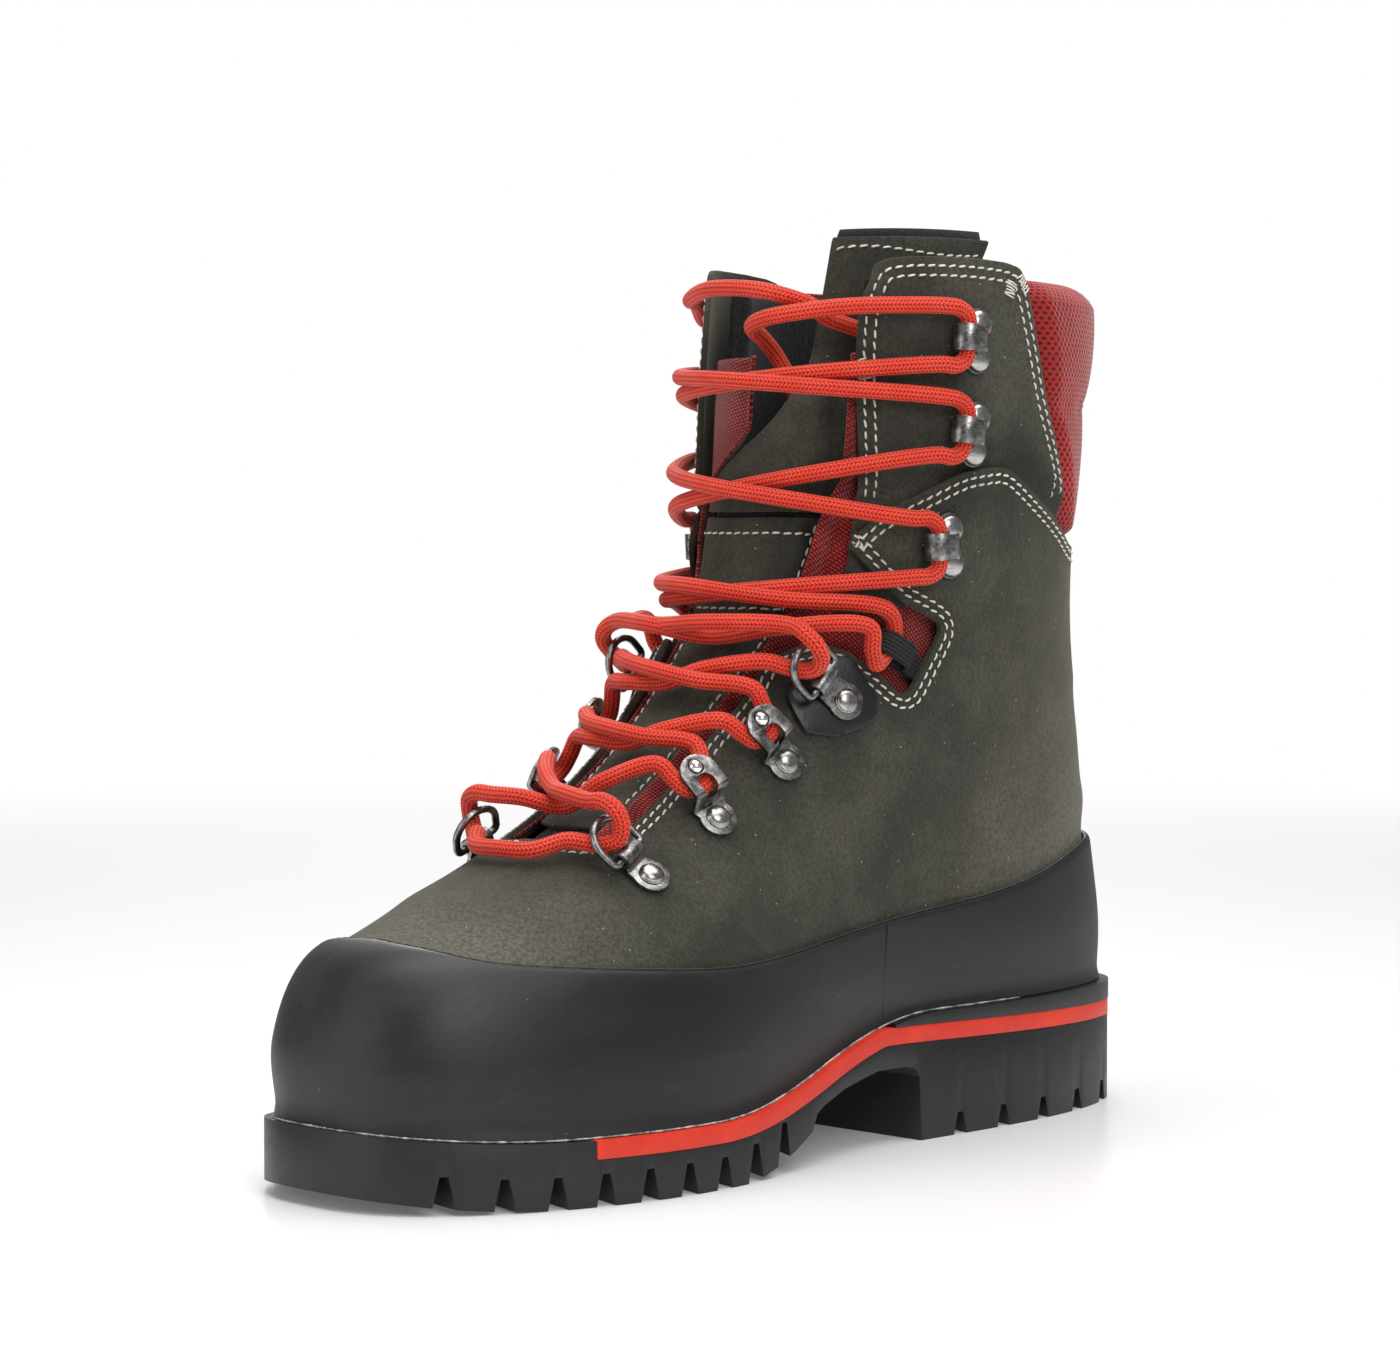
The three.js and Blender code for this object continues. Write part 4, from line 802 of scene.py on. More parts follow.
front = rand_piece("front_rand_skin", -99.2, 99.2, 260)
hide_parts("front_rand")
rear = rand_piece("heel_rand_skin", 99.25, 260.75, 200)
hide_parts("heel_rand")
for label, side in SIDES:
    v = np.linspace(0.004, rand_top(99.35) - 0.003, 24)
    seam = tube("rand_join_" + label, off(side * 99.35, v, 0.1), 0.22, SOLE, sides=6)
foot_bead = edge_bead("rand_foot_bead", 122, lambda d: 0 * d + 0.0012, 0.95, 0.28, GLUE)
top_bead = edge_bead("rand_top_bead", 150, lambda d: rand_top(d) + 0.0012, -1.0, 0.2, SUEDE_EDGE)


# ---------------------------------------------------------------- upper: suede shell
# The throat's edge as x, y and the notch's edge as y, z, both on the medial side.
THROAT = [(4, -74.3), (12, -73.6), (18, -70.5), (20.6, -66), (20.8, -58), (19.6, -40), (19.7, -28), (22, -17)]
NOTCH = [(-8, 139.5), (-2, 143), (5, 145), (12, 142), (20, 135.5), (27, 129.7), (30, 129.5), (35, 137),
         (41, 146), (42, 149), (38, 151.5), (29, 156), (22, 163), (16, 172)]
NOTCH_TIP = (41.2, 0.758)


def shell_outline(side):
    """The shell's upper edge from the throat to the back, as if the side were the medial one."""
    x, y = np.array(THROAT, float).T
    guess_v = table([[-80, 0.42], [-30, 0.58], [0, 0.68], [30, 0.75]], y)
    throat = invert(np.stack([side * x, y], 1), [0, 1], side * (5 + 1.2 * x), guess_v) * (side, 1)
    notch = invert(NOTCH, [1, 2], 45, 0.66)
    deg = np.linspace(42.5, 180, 90)
    top = np.stack([deg, quarter_top(deg)], 1)
    line = rounded(np.vstack([throat, notch, [NOTCH_TIP], top[:-1]]), 2.2, closed=False)
    return np.vstack([line, top[-1:]])


OUTLINE = {side: shell_outline(side) for label, side in SIDES}


def shell_loop():
    medial, lateral = OUTLINE[1], OUTLINE[-1] * (-1, 1)
    start = [[0, (medial[0, 1] + lateral[0, 1]) / 2]]
    deg = np.linspace(180, -180, 260)
    bottom = np.stack([deg, rand_top(deg) - 0.03], 1)
    return np.vstack([start, medial, bottom, lateral[::-1]])


def leather_bend(deg, v):
    """The leather's own shallow dents and creases, over the smooth surface."""
    a = np.radians(deg)
    dents = 0.35 * np.sin(3.1 * a + 14 * v) * np.sin(2.3 * a - 9 * v + 1.0) + 0.2 * np.sin(7 * a + 31 * v)
    ankle = np.exp(-(((np.abs(deg) - 112) / 16) ** 2)) * ease((v - 0.3) / 0.1) * ease((0.72 - v) / 0.1)
    crease = 0.7 * ankle * np.sin(44 * v + 0.02 * deg)
    fade = ease((v - 0.26) / 0.08) * ease((from_toe(deg) - 62) / 12)
    return leather_out(deg, v) + (dents * 0.5 + crease * 0.6) * fade


shell = panel("suede_shell", shell_loop(), leather_bend, 2.0, SUEDE, step=2.4, rim=0.45)
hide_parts("vamp_quarters")

# Two rows of stitches along the shell's upper edge.
for label, side in SIDES:
    line = OUTLINE[side] * (side, 1)
    for k, gap_in in enumerate((2.0, 4.3)):
        path = evenly(inward_path(line[2:-1], gap_in, -side))
        stitches(path[from_toe(path[:, 0]) < 176], leather_bend, seed=11 + k + side)


# ---------------------------------------------------------------- upper: cuff flaps
def edge_line(points, v):
    """(deg, v) points of an edge that is given as (v, deg)."""
    return np.stack([smooth_table(points, v, 0.02), v], 1)


def flap_face(deg, v):
    return flap_out(deg, v) + 0.1


FLAP_TOP = [[41.5, 1.009], [45.5, 1.0155], [52, 1.018], [62, 1.019], [72, 1.019], [82, 1.017], [87.2, 1.013]]
SEAM_TOP = [[41.8, 1.007], [45.6, 1.0135], [52, 1.0165], [62, 1.0175], [72, 1.0175], [82, 1.0155],
            [86.5, 1.012]]
FLAP_FOOT = [[118, 0.735], [90, 0.725], [60, 0.705]]
TACKS = [((84.2, 1.0), (83.2, 0.985), 3.0), ((86.5, 1.006), (90.0, 0.99), 2.2),
         ((39.5, 0.925), (41.5, 0.905), 3.2)]

for label, side in SIDES:
    loop = np.vstack([edge_line(FLAP_FRONT, np.linspace(0.705, 1.0, 60)), FLAP_TOP,
                      edge_line(FLAP_REAR, np.linspace(1.0, 0.74, 50)), FLAP_FOOT])
    flap = panel("cuff_flap_%s_skin" % label, rounded(loop, 1.6) * (side, 1), flap_face, 1.8, SUEDE)
    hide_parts("cuff_flap_" + label)
    edge = np.vstack([edge_line(FLAP_FRONT, np.linspace(0.80, 0.992, 60)), SEAM_TOP,
                      edge_line(FLAP_REAR, np.linspace(1.002, 0.80, 60))])
    edge = rounded(edge, 4, closed=False) * (side, 1)
    for k, gap_in in enumerate((2.2, 5.0)):
        stitches(evenly(inward_path(edge[1:-1], gap_in, -side)), flap_face, seed=21 + k + side)
    for seed, (start, end, width) in enumerate(TACKS, 4):
        bartack(np.array([start, end]) * (side, 1), flap_out, width, seed)


# ---------------------------------------------------------------- upper: red mesh gussets
for label, side in SIDES:
    v = np.linspace(0.46, 0.93, 90)[None, :]
    start = np.clip(side * smooth_table(TONGUE_RIGHT if side > 0 else TONGUE_LEFT, v, 0.02) - 0.6, -3, 37)
    end = lerp(34, 84, ease((v - 0.5) / 0.1))
    deg = side * lerp(start, end, np.linspace(0, 1, 60)[:, None])
    rise = 1 - ease((deg * side - start) / 7.0)

    def fold(d, at, rise=rise):
        """Deep in the gap, and up to the tongue's edge where it is sewn on."""
        deep = mesh_out(d, at) + 0.35 * np.sin(np.abs(d) / 3.2 + 9 * at) * ease((np.abs(d) - 30) / 6)
        return lerp(deep, -0.5, rise * (deep < -0.5))
    gusset = sheet("gusset_" + label, deg, v, fold, WEAVE)
    if side < 0:
        gusset.data.flip_normals()
    thicken(gusset, 0.9)
    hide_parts("bellows_" + label)


# ---------------------------------------------------------------- upper: tongue
def tongue_edges(v, margin):
    """deg of the tongue's two edges at v, a margin in from them."""
    return smooth_table(TONGUE_LEFT, v, 0.02) + margin, smooth_table(TONGUE_RIGHT, v, 0.02) - margin


def tongue_cushion(sides=72, power=4.5, half=2.9, taper=3):
    """A padded strip with a rounded section, drawn in at both ends."""
    u = 2 * np.pi * np.arange(sides) / sides
    c, s = np.cos(u), np.sin(u)
    r = (np.abs(c) ** power + np.abs(s) ** power) ** (-1 / power)
    c, s = r * c, r * s
    v = np.linspace(0.455, 1.052, 110)
    n = len(v)
    left, right = tongue_edges(v, 0.3 + 2.6 * (1 - ease((v - 0.92) / 0.06)))
    rows = []
    for k in range(n):
        from_end = min(k, n - 1 - k)
        shrink = math.sin(math.pi / 2 * (from_end + 0.15) / taper) if from_end < taper else 1.0
        deg = (left[k] + right[k]) / 2 + (right[k] - left[k]) / 2 * c * (0.96 + 0.04 * shrink)
        rows.append(off(deg, v[k], tongue_out(deg, v[k]) - 0.05 - half + half * s * shrink))
    faces = net(n, sides, around=True, flip=True)
    faces.append(tuple(reversed(range(sides))))
    faces.append(tuple((n - 1) * sides + a for a in range(sides)))
    uv = np.stack([np.tile(np.arange(sides) * 2.2, n), np.repeat(v * 300, sides)], 1)
    return edit(make("tongue_cushion", np.vstack(rows), faces, FLEECE, uv=uv), outwards)


pad = tongue_cushion()
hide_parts("tongue_pad")


def tongue_panel(name, v0, v1):
    """A suede panel over the tongue between two heights; returns it with its right edge and its face."""
    v = np.linspace(v0, v1, 60)
    left, right = (np.stack([deg, v], 1) for deg in tongue_edges(v, 0.3))
    across = np.linspace(0, 1, 24)[1:-1]
    top = np.stack([lerp(left[-1, 0], right[-1, 0], across), v1 + 0 * across], 1)
    low = np.stack([lerp(right[0, 0], left[0, 0], across), v0 + 0 * across], 1)

    def face(d, at):
        start, end = tongue_edges(at, 0)
        mid = lerp(start, end, 0.5)
        span = np.maximum(end - mid, 1)
        swell = 0.54 * (1 - np.clip(np.abs(d - mid) / span, 0, 1) ** 3)
        return tongue_out(d, at) + 1.45 + swell * ease((at - v0) / 0.02) * ease((v1 - at) / 0.02)
    loop = rounded(np.vstack([left, top, right[::-1], low]), 1.4, step=0.8)
    return panel(name, loop, face, 1.1, SUEDE, step=1.9, rim=0.3), left, right, face


def row_across(v, in_left, in_right, count=60):
    """Points across the tongue at one height, in from its two edges."""
    deg = np.linspace(float(table(TONGUE_LEFT, v)) + in_left, float(table(TONGUE_RIGHT, v)) - in_right, count)
    return np.stack([deg, v + 0 * deg], 1)


lower, left, right, face = tongue_panel("tongue_lower_skin", 0.49, 0.697)
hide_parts("tongue_lower_panel")
for line, way in ((left, -1), (right, 1)):
    stitches(evenly(inward_path(line[2:-2], 2.3, way)), face, seed=31)
middle, left, right, face = tongue_panel("tongue_middle_skin", 0.702, 0.791)
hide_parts("tongue_middle_panel")
for v_row in (0.7125, 0.777):
    stitches(row_across(v_row, 2.5, 3), face, seed=41)
stitches(evenly(inward_path(right[4:-4], 2.3, 1)), face, seed=42)
upper, left, right, face = tongue_panel("tongue_upper_skin", 0.796, 1.043)
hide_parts("tongue_upper_panel")
stitches(row_across(0.808, 2.5, 3), face, seed=43)
crest = row_across(1.03, 3, 3, 100)
crest[:, 1] += 0.004 * np.sin((crest[:, 0] - 20) / 12.0)
stitches(crest, face, seed=44)


# ---------------------------------------------------------------- upper: collar and lining
def collar_face(deg, v):
    """Two lobes, one over the other, behind the flaps, with a gathered seam between them."""
    turned = from_toe(deg)
    behind = ease((turned - smooth_table(FLAP_REAR, v, 0.01) + 2) / 10) * ease((v - quarter_top(deg)) / 0.02)
    lower = np.clip(1 - ((v - 0.822) / 0.068) ** 2, 0, 1) ** 0.5
    upper = np.clip(1 - ((v - 0.948) / 0.062) ** 2, 0, 1) ** 0.5
    ripple = 0.25 * np.sin(turned / 2.3) * np.exp(-((v - 0.887) / 0.012) ** 2)
    return lerp(-5.4, -1.4 + 2.5 * lower + 3.3 * upper + ripple, behind)


def collar():
    """The collar's skin, rolled inwards over its crest in the last five rows."""
    cols, face_rows = 190, 100
    rows_v = np.r_[np.linspace(0.70, 0.985, face_rows), 0.992, 0.998, 1.002, 1.004, 1.0045]
    crest = np.r_[np.zeros(face_rows), 0.18, 0.42, 0.68, 0.88, 1.0]
    v = np.tile(rows_v, (cols, 1))
    start = smooth_table(FLAP_REAR, v, 0.01) - 6
    deg = start + (360 - 2 * start) * np.linspace(0, 1, cols)[:, None]
    pts = off(deg, v, lerp(collar_face(deg, np.minimum(v, 0.985)), -6.9, crest))
    uv = np.stack(np.meshgrid(lengths(pts[:, 60]), lengths(pts[cols // 2]), indexing="ij"), -1)
    return make("rear_collar_skin", pts.reshape(-1, 3), net(cols, len(rows_v)), DOTTED, uv=uv.reshape(-1, 2))


collar_skin = thicken(collar(), 1.0)
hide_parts("rear_collar")


def lining_shell():
    """Outer face, padded crest and inner face of the lining, as one closed sheet."""
    open_deg, top, crest, cols = 39.0, 0.982, 0.018, 170
    v_out = np.linspace(0.035, top, 46)
    phi = np.linspace(0, np.pi, 13)[1:-1]
    # v of each row, and how far through the thickness it is: 0 at the outer face, 1 at the inner.
    rows_v = np.r_[v_out, top + crest * np.sin(phi), v_out[::-1]]
    depth = np.r_[np.zeros(46), 0.5 - np.cos(phi) / 2, np.ones(46)]
    s = np.linspace(0, 1, cols)
    rows = []
    for v, through in zip(rows_v, depth):
        start = open_deg * ease((v - 0.33) / 0.08)
        deg = lerp(start + 0.8, 359.2 - start, s)
        signed = np.where(deg > 180, deg - 360, deg)
        back = ease((np.abs(signed) - 92) / 14)
        lateral = ease((-signed - 41) / 6)
        roll = np.maximum(back, lateral) * ease((v - 0.84) / 0.07)
        edge = np.minimum(1, np.minimum(s, 1 - s) * cols / 2.5 + 0.35)
        rows.append(off(deg, v, lining_out(deg, v) - 0.05 - (2.3 + 3.6 * roll) * edge * through))
    n = len(rows)
    faces = net(n, cols, flip=True)
    for k in range(n // 2):
        j = n - 1 - k
        if j - k > 1:
            faces.append((k * cols, (k + 1) * cols, (j - 1) * cols, j * cols))
            faces.append(tuple(corner * cols + cols - 1 for corner in (k, j, j - 1, k + 1)))
    faces += [(i, (n - 1) * cols + i, (n - 1) * cols + i + 1, i + 1) for i in range(cols - 1)]
    verts = np.vstack(rows)
    return edit(make("lining_skin", verts, faces, FLEECE, uv=verts[:, 1:]), outwards)


lining = lining_shell()
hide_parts("lining")


def back_ribs(deg, v):
    """Moulded ribs 3.2 mm apart over the heel seam."""
    return 1.75 + 0.28 * np.sin(v * 300 * 2 * np.pi / 3.2) * (np.abs(deg - 180) < 6.6)


strip_deg, strip_v = np.linspace(172, 188, 26)[:, None], np.linspace(0.36, 0.70, 240)[None, :]
back = thicken(sheet("back_strip_skin", strip_deg, strip_v, back_ribs, RAND), 1.1, 0.4)
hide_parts("back_strip")


# ---------------------------------------------------------------- solids made by cutting
def extrude(name, outline, lo, hi, across, origin=0):
    """A flat outline drawn between two levels of x, y or z, where across is 0, 1 or 2."""
    n = len(outline)
    flat = np.vstack([outline, outline]).astype(float)
    verts = np.insert(flat, across, np.repeat([lo, hi], n), axis=1) - origin
    faces = [tuple(range(n)), tuple(reversed(range(n, 2 * n)))]
    faces += [(i, n + i, n + (i + 1) % n, (i + 1) % n) for i in range(n)]
    return edit(make(name, verts, faces, None, smooth=False, ride=None), outwards)


def cut(obj, tool, operation):
    mod = obj.modifiers.new("cut", "BOOLEAN")
    mod.operation = operation
    mod.object = tool
    mod.solver = "EXACT"
    apply_modifiers(obj)
    bpy.data.objects.remove(tool)
    return obj


def dress(body, material, width, segments, angle, crease, gap=0.02):
    """Cleans a cut solid, gives it its material and rounds its edges."""
    edit(body, weld(gap * MM), lambda bm: bmesh.ops.dissolve_degenerate(bm, edges=bm.edges, dist=gap * MM))
    repaint(body, material)
    bevel(body, width, segments, angle)
    apply_modifiers(body)
    return auto_smooth(body, crease)


# ---------------------------------------------------------------- bottom unit
def plan_outline(v, margin, count=360):
    """The surface's outline at v as x, y points, set out by a margin."""
    deg = 360.0 * np.arange(count) / count
    ahead = surf(deg + 1, v) - surf(deg - 1, v)
    side = np.stack([ahead[:, 1], -ahead[:, 0]], 1)
    return surf(deg, v)[:, :2] + side / np.linalg.norm(side, axis=1, keepdims=True) * margin


SOLE_OUTLINE = plan_outline(0.0, 3.5)
SOLE_FRONT, SOLE_BACK = SOLE_OUTLINE[:, 1].min(), SOLE_OUTLINE[:, 1].max()
RED_THICKNESS, RED_FRONT, HEEL_FRONT = 5, -103, 38
GRIP, HEEL_GRIP, CHANNEL = 8.6, 6.5, 6.5            # depths of the tread's grooves


def red_top(y):
    return np.minimum(sole_top(y), lerp(HEEL - 3, HEEL - 6, (y - 26) / 125))


def red_low(y):
    return red_top(y) - RED_THICKNESS


def toe_spring(y):
    """How far the tread's underside rises towards the toe."""
    return 4 * np.clip((-108 - y) / 46, 0, 1.1) ** 2


def ground():
    """The tread's underside as y, z: toe spring, ball, arch and heel block."""
    heel_top = float(red_low(HEEL_FRONT))
    pts = [(y, toe_spring(y)) for y in np.linspace(SOLE_FRONT - 1, -108, 12)]
    pts += [(-50, 0), (-42, 1.2), (-35, 3), (-26, 6.4), (-18, 10), (-15.5, 14.6), (-12, 16.3), (0, 19.5),
            (18, 22.4), (31, heel_top - 6.6), (35.5, heel_top - 7.6), (37.2, heel_top - 10), (HEEL_FRONT, 0)]
    return pts + [(SOLE_BACK + 1, 0)]


def sole_edge(y, side):
    """x of the upper's foot at y, on one side."""
    low, high = 2.0, 178.0
    for _ in range(30):
        mid = (low + high) / 2
        if float(surf(side * mid, 0.0)[1]) < y:
            low = mid
        else:
            high = mid
    return surf(side * low, 0.0)[0]


def groove(x, y, heading, length, depth, width=3.4):
    """A tapered bar that cuts one groove of the tread."""
    tip = width * 0.25
    shape = [(-width, -6), (width, -6), (tip, depth), (-tip, depth)]
    c, s = math.cos(heading), math.sin(heading)
    verts = [(x + a * c - b * s, y + a * s + b * c, z) for b in (-length / 2, length / 2) for a, z in shape]
    faces = [(0, 1, 2, 3), (7, 6, 5, 4)] + [(i, 4 + i, 4 + (i + 1) % 4, (i + 1) % 4) for i in range(4)]
    return edit(make("groove", verts, faces, None, smooth=False, ride=None), outwards)


def arch_lift(y):
    """How much deeper a groove is cut where the underside rises to the arch."""
    return max(0, (y + 50) * 0.3) if y < -18 else 0


def build_outsole():
    ys = np.r_[np.linspace(SOLE_BACK + 1, RED_FRONT, 90), np.linspace(RED_FRONT - 0.01, SOLE_FRONT - 1, 30)]
    top = [(y, float(sole_top(y) if y < RED_FRONT else red_low(y)) - 0.15) for y in ys]
    body = extrude("outsole_skin", ground() + top, -80, 80, 0)
    body = cut(body, extrude("trim", SOLE_OUTLINE, -3, 60, 2), "INTERSECT")
    grooves = []
    for label, side in SIDES:
        for y in [*np.linspace(-138, -30, 9), 58, 78, 98, 118, 138]:
            depth = arch_lift(y) + (GRIP if y < 0 else HEEL_GRIP) + toe_spring(y)
            x = sole_edge(y, side) - side * 7
            grooves.append(groove(x, y, math.pi / 2 - side * 0.25, 30, depth, 4.3))
    grooves.append(groove(2, -77, 0, 110, CHANNEL))
    grooves.append(groove(0, 102, 0, 100, CHANNEL))
    # Shorter cross cuts between the side lugs and the centre channel.
    for y in np.linspace(-124, -44, 7):
        depth = arch_lift(y) + 5.2 + toe_spring(y)
        for side in (1, -1):
            grooves.append(groove(2 + side * 13, y + 6, math.pi / 2 + side * 0.5, 15, depth, 2.4))
    for y in (68, 88, 108, 128):
        for side in (1, -1):
            grooves.append(groove(side * 11, y, math.pi / 2 + side * 0.5, 12, 5.0, 2.4))
    for tool in grooves:
        body = cut(body, tool, "DIFFERENCE")
    return dress(body, SOLE, 0.45, 2, 30, 32)


def layer(name, y0, high, low, margin, material, width, segments=2):
    """A layer of the bottom unit from y0 back to the heel, between two curves of z."""
    ys = np.linspace(y0, SOLE_BACK + 1, 110)
    profile = [(y, float(low(y))) for y in ys] + [(y, float(high(y))) for y in ys[::-1]]
    body = extrude(name, profile, -80, 80, 0)
    body = cut(body, extrude("trim", plan_outline(0.0, margin), -3, 80, 2), "INTERSECT")
    return dress(body, material, width, segments, 40, 40)


outsole = build_outsole()
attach(outsole, ROOT)
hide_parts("outsole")
red = layer("red_midsole_skin", RED_FRONT + 0.3, lambda y: red_top(y) - 0.1, lambda y: red_low(y) - 0.02,
            3.6, RED, 0.4)
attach(red, ROOT)
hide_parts("red_midsole")
welt = layer("heel_welt_skin", 26, lambda y: sole_top(y) - 0.1,
             lambda y: np.minimum(red_top(y) - 0.05, sole_top(y) - 0.35), 3.75, SOLE, 1.0, 3)
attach(welt, ROOT)
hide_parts("heel_welt")


def footbed():
    """A dished sole shape: rings of points drawn in to a centre line, each with its drop."""
    ring = plan_outline(0.06, -13.3, 140)
    spine = np.array([[0.0, y] for y in np.linspace(ring[:, 1].min() + 25, ring[:, 1].max() - 25, 60)])
    near = np.array([spine[np.argmin(((spine - p) ** 2).sum(1))] for p in ring])
    shares = [0, 0.25, 0.45, 0.62, 0.76, 0.87, 0.94, 0.985, 1.0, 1.0, 0.99]
    drops = [0, 0, 0.02, 0.0, -0.25, -0.6, -0.7, -0.2, 0.5, 2.0, 4.6]
    plans = [near + (ring - near) * s for s in shares]
    verts = np.vstack([np.column_stack([p, sole_top(p[:, 1]) + 7.6 - drop]) for p, drop in zip(plans, drops)])
    faces = net(len(shares), len(ring), around=True, flip=True)
    faces.append(tuple(range((len(shares) - 1) * len(ring), len(shares) * len(ring))))
    obj = make("footbed_skin", verts, faces, BED, uv=np.vstack(plans))
    return edit(obj, weld(1e-5), fill_holes, outwards)


bed = footbed()
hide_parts("footbed")
for node in ("lasting_board", "toe_stiffener", "heel_counter"):
    repaint(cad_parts[node], BOARD)
repaint(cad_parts["shank"], SHANK)


# ---------------------------------------------------------------- lacing hardware
# Each row's rivet, and a point towards the throat that it faces, as (deg, v) on the medial side.
ROWS = [
    dict(name="row1", kind="ring", rivet=(46.5, 0.375), front=(29.5, 0.435), bar=8.0),
    dict(name="row2", kind="eyelet", rivet=(47, 0.478), front=(31.5, 0.537)),
    dict(name="row3", kind="eyelet", rivet=(51.5, 0.56), front=(36.5, 0.605)),
    dict(name="row4", kind="ring", rivet=(56, 0.625), front=(37, 0.66), bar=9.5, backed=True),
    dict(name="row5", kind="loop", rivet=(68, 0.66), front=(57, 0.68)),
    dict(name="row6", kind="hook", rivet=(70.5, 0.76), front=(62, 0.76)),
    dict(name="row7", kind="hook", rivet=(74.2, 0.858), front=(65.5, 0.863)),
    dict(name="row8", kind="hook", rivet=(72.8, 0.942), front=(62, 0.945)),
]
SEAT, GAP, PLATE, BACKING, MESH_DEPTH = 0.6, 0.3, 1.1, 1.2, 5.3
BALL_X, EYELET_TOP, BALL_RADIUS = 14.0, 7.6, 2.2
HOOK_X, HOOK_GAP, HOOK_WIDTH, HOOK_RIVET = 6.0, 6.0, 8.0, 4.85
WIRE, REACH, HALF, TILT = 2.2, 12.0, 7.2, 18.0
BARREL = WIRE / 2 + GAP + PLATE
BAR_Z = BARREL + GAP
FOOT_RADIUS, RIVET_HOLE = 5.4, 1.7


def surface_terms(point, deg, v):
    """(deg, v) of the surface's point nearest to a point, by ever smaller steps."""
    best, best_d = (deg, v), 1e9
    for sd, sv in ((6, 0.03), (2, 0.01), (0.7, 0.003)):
        for _ in range(6):
            base = best
            for i, j in ((0, 0), (1, 0), (-1, 0), (0, 1), (0, -1), (1, 1), (-1, -1), (1, -1), (-1, 1)):
                trial = (base[0] + i * sd, base[1] + j * sv)
                d = float(np.linalg.norm(surf(*trial) - point))
                if d < best_d:
                    best, best_d = trial, d
    return best


def steep_normal(deg, v):
    around = surf(deg + 0.05, v) - surf(deg - 0.05, v)
    up = surf(deg, v + 0.001) - surf(deg, v - 0.001)
    n = np.cross(around, up)
    return n / np.linalg.norm(n)


def row_frame(row, side):
    """Columns: towards the throat, across, away from the leather; and the origin, in millimetres."""
    deg, v = row["rivet"]
    origin = surf(side * deg, v)
    n = steep_normal(side * deg, v)
    along = surf(side * row["front"][0], row["front"][1]) - origin
    along = along - n * np.dot(along, n)
    along /= np.linalg.norm(along)
    across = np.cross(n, along)
    lift = 0.0
    for x in (-5, 0, 4, 8):
        for y in (-5, 0, 5):
            sample = origin + along * x + across * y
            near = surf(*surface_terms(sample, side * deg, v))
            lift = max(lift, float(np.dot(near - sample, n)))
    seat = lift + SEAT
    if row.get("backed"):
        seat += BACKING + 2 * GAP
    if row["kind"] == "loop":
        seat = -MESH_DEPTH + SEAT
    return np.stack([along, across, n], 1), origin + n * seat


def arc(cx, cy, r, a0, a1, n):
    return [(cx + r * math.cos(t), cy + r * math.sin(t)) for t in np.radians(np.linspace(a0, a1, n))]


def strip(name, profile, width):
    """A profile in x and z, extruded evenly about y = 0."""
    return extrude(name, profile, -width / 2, width / 2, 1, SHIFT)


def block(outline, z0, z1):
    return extrude("block", outline, z0, z1, 2, SHIFT)


def drill(body, x, y, r, z0=-6, z1=16):
    return cut(body, block(arc(x, y, r, 0, 348.75, 32), z0, z1), "DIFFERENCE")


def lathe(name, profile, material, count=40, y=0):
    """A profile of radius and height turned about the z axis at y."""
    verts = []
    for k in range(count):
        a = 2 * math.pi * k / count
        verts += [(r * math.cos(a), y + r * math.sin(a), z) for r, z in profile]
    obj = raw(name, verts, net(count, len(profile), joined=True), material, smooth=True)
    return auto_smooth(edit(obj, weld(1e-6), outwards), 50)


def rivet_profile(radius=3.45, stem=1.45, depth=1.0):
    """Rivet: stem, flat flange, then a domed head with a rounded rim."""
    pts = [(0, -depth), (stem, -depth), (stem, 0.0), (radius, 0.0), (radius + 0.12, 0.12),
           (radius + 0.12, 0.3), (radius - 0.05, 0.46)]
    for a in np.linspace(0.06, 1, 12)[:-1] * math.pi / 2:
        pts.append(((radius - 0.2) * math.cos(a), 0.45 + 1.5 * math.sin(a)))
    return pts + [(0, 1.95)]


def build_ring_plate(bar):
    """A plate folded round the ring's bar."""
    outer = [(-8, 0), (bar - BARREL * 0.8, 0)] + arc(bar, BAR_Z, BARREL, 233, 563, 44)[1:]
    outer += [(bar - BARREL * 0.95 - 1, PLATE), (-8, PLATE)]
    body = strip("ring_plate", outer, 40)
    body = cut(body, strip("tunnel", arc(bar, BAR_Z, WIRE / 2 + 0.22, 0, 348, 30), 50), "DIFFERENCE")
    plan = [(bar + 6, -4.2), (bar + 6, 4.2), (bar - 1.5, 4.2), (bar - 3.6, 4.4), (2.6, 4.75)]
    plan += arc(0, 0, FOOT_RADIUS, 62, 298, 34) + [(2.6, -4.75), (bar - 3.6, -4.4), (bar - 1.5, -4.2)]
    body = cut(body, block(plan, -3, 9), "INTERSECT")
    return dress(drill(body, 0, 0, RIVET_HOLE), METAL, 0.22, 2, 38, 42, 0.01)


def build_ring():
    """A D of round wire, its straight bar along y through the origin."""
    legs = np.linspace(REACH - HALF, 1.6, 8)[1:]
    pts = arc(REACH - HALF, 0, HALF, -90, 90, 25) + [(x, HALF) for x in legs]
    pts += [(0.75, HALF - 0.28), (0.25, HALF - 0.8), (0, HALF - 1.6)]
    pts += [(0, y) for y in np.linspace(HALF - 1.6, -HALF + 1.6, 14)[1:]]
    pts += [(0.25, -HALF + 0.8), (0.75, -HALF + 0.28)] + [(x, -HALF) for x in legs[::-1]]
    pts = np.insert(pts, 2, 0, axis=1) - SHIFT
    return tube("ring", pts, WIRE / 2, METAL, sides=16, closed=True, body=None)


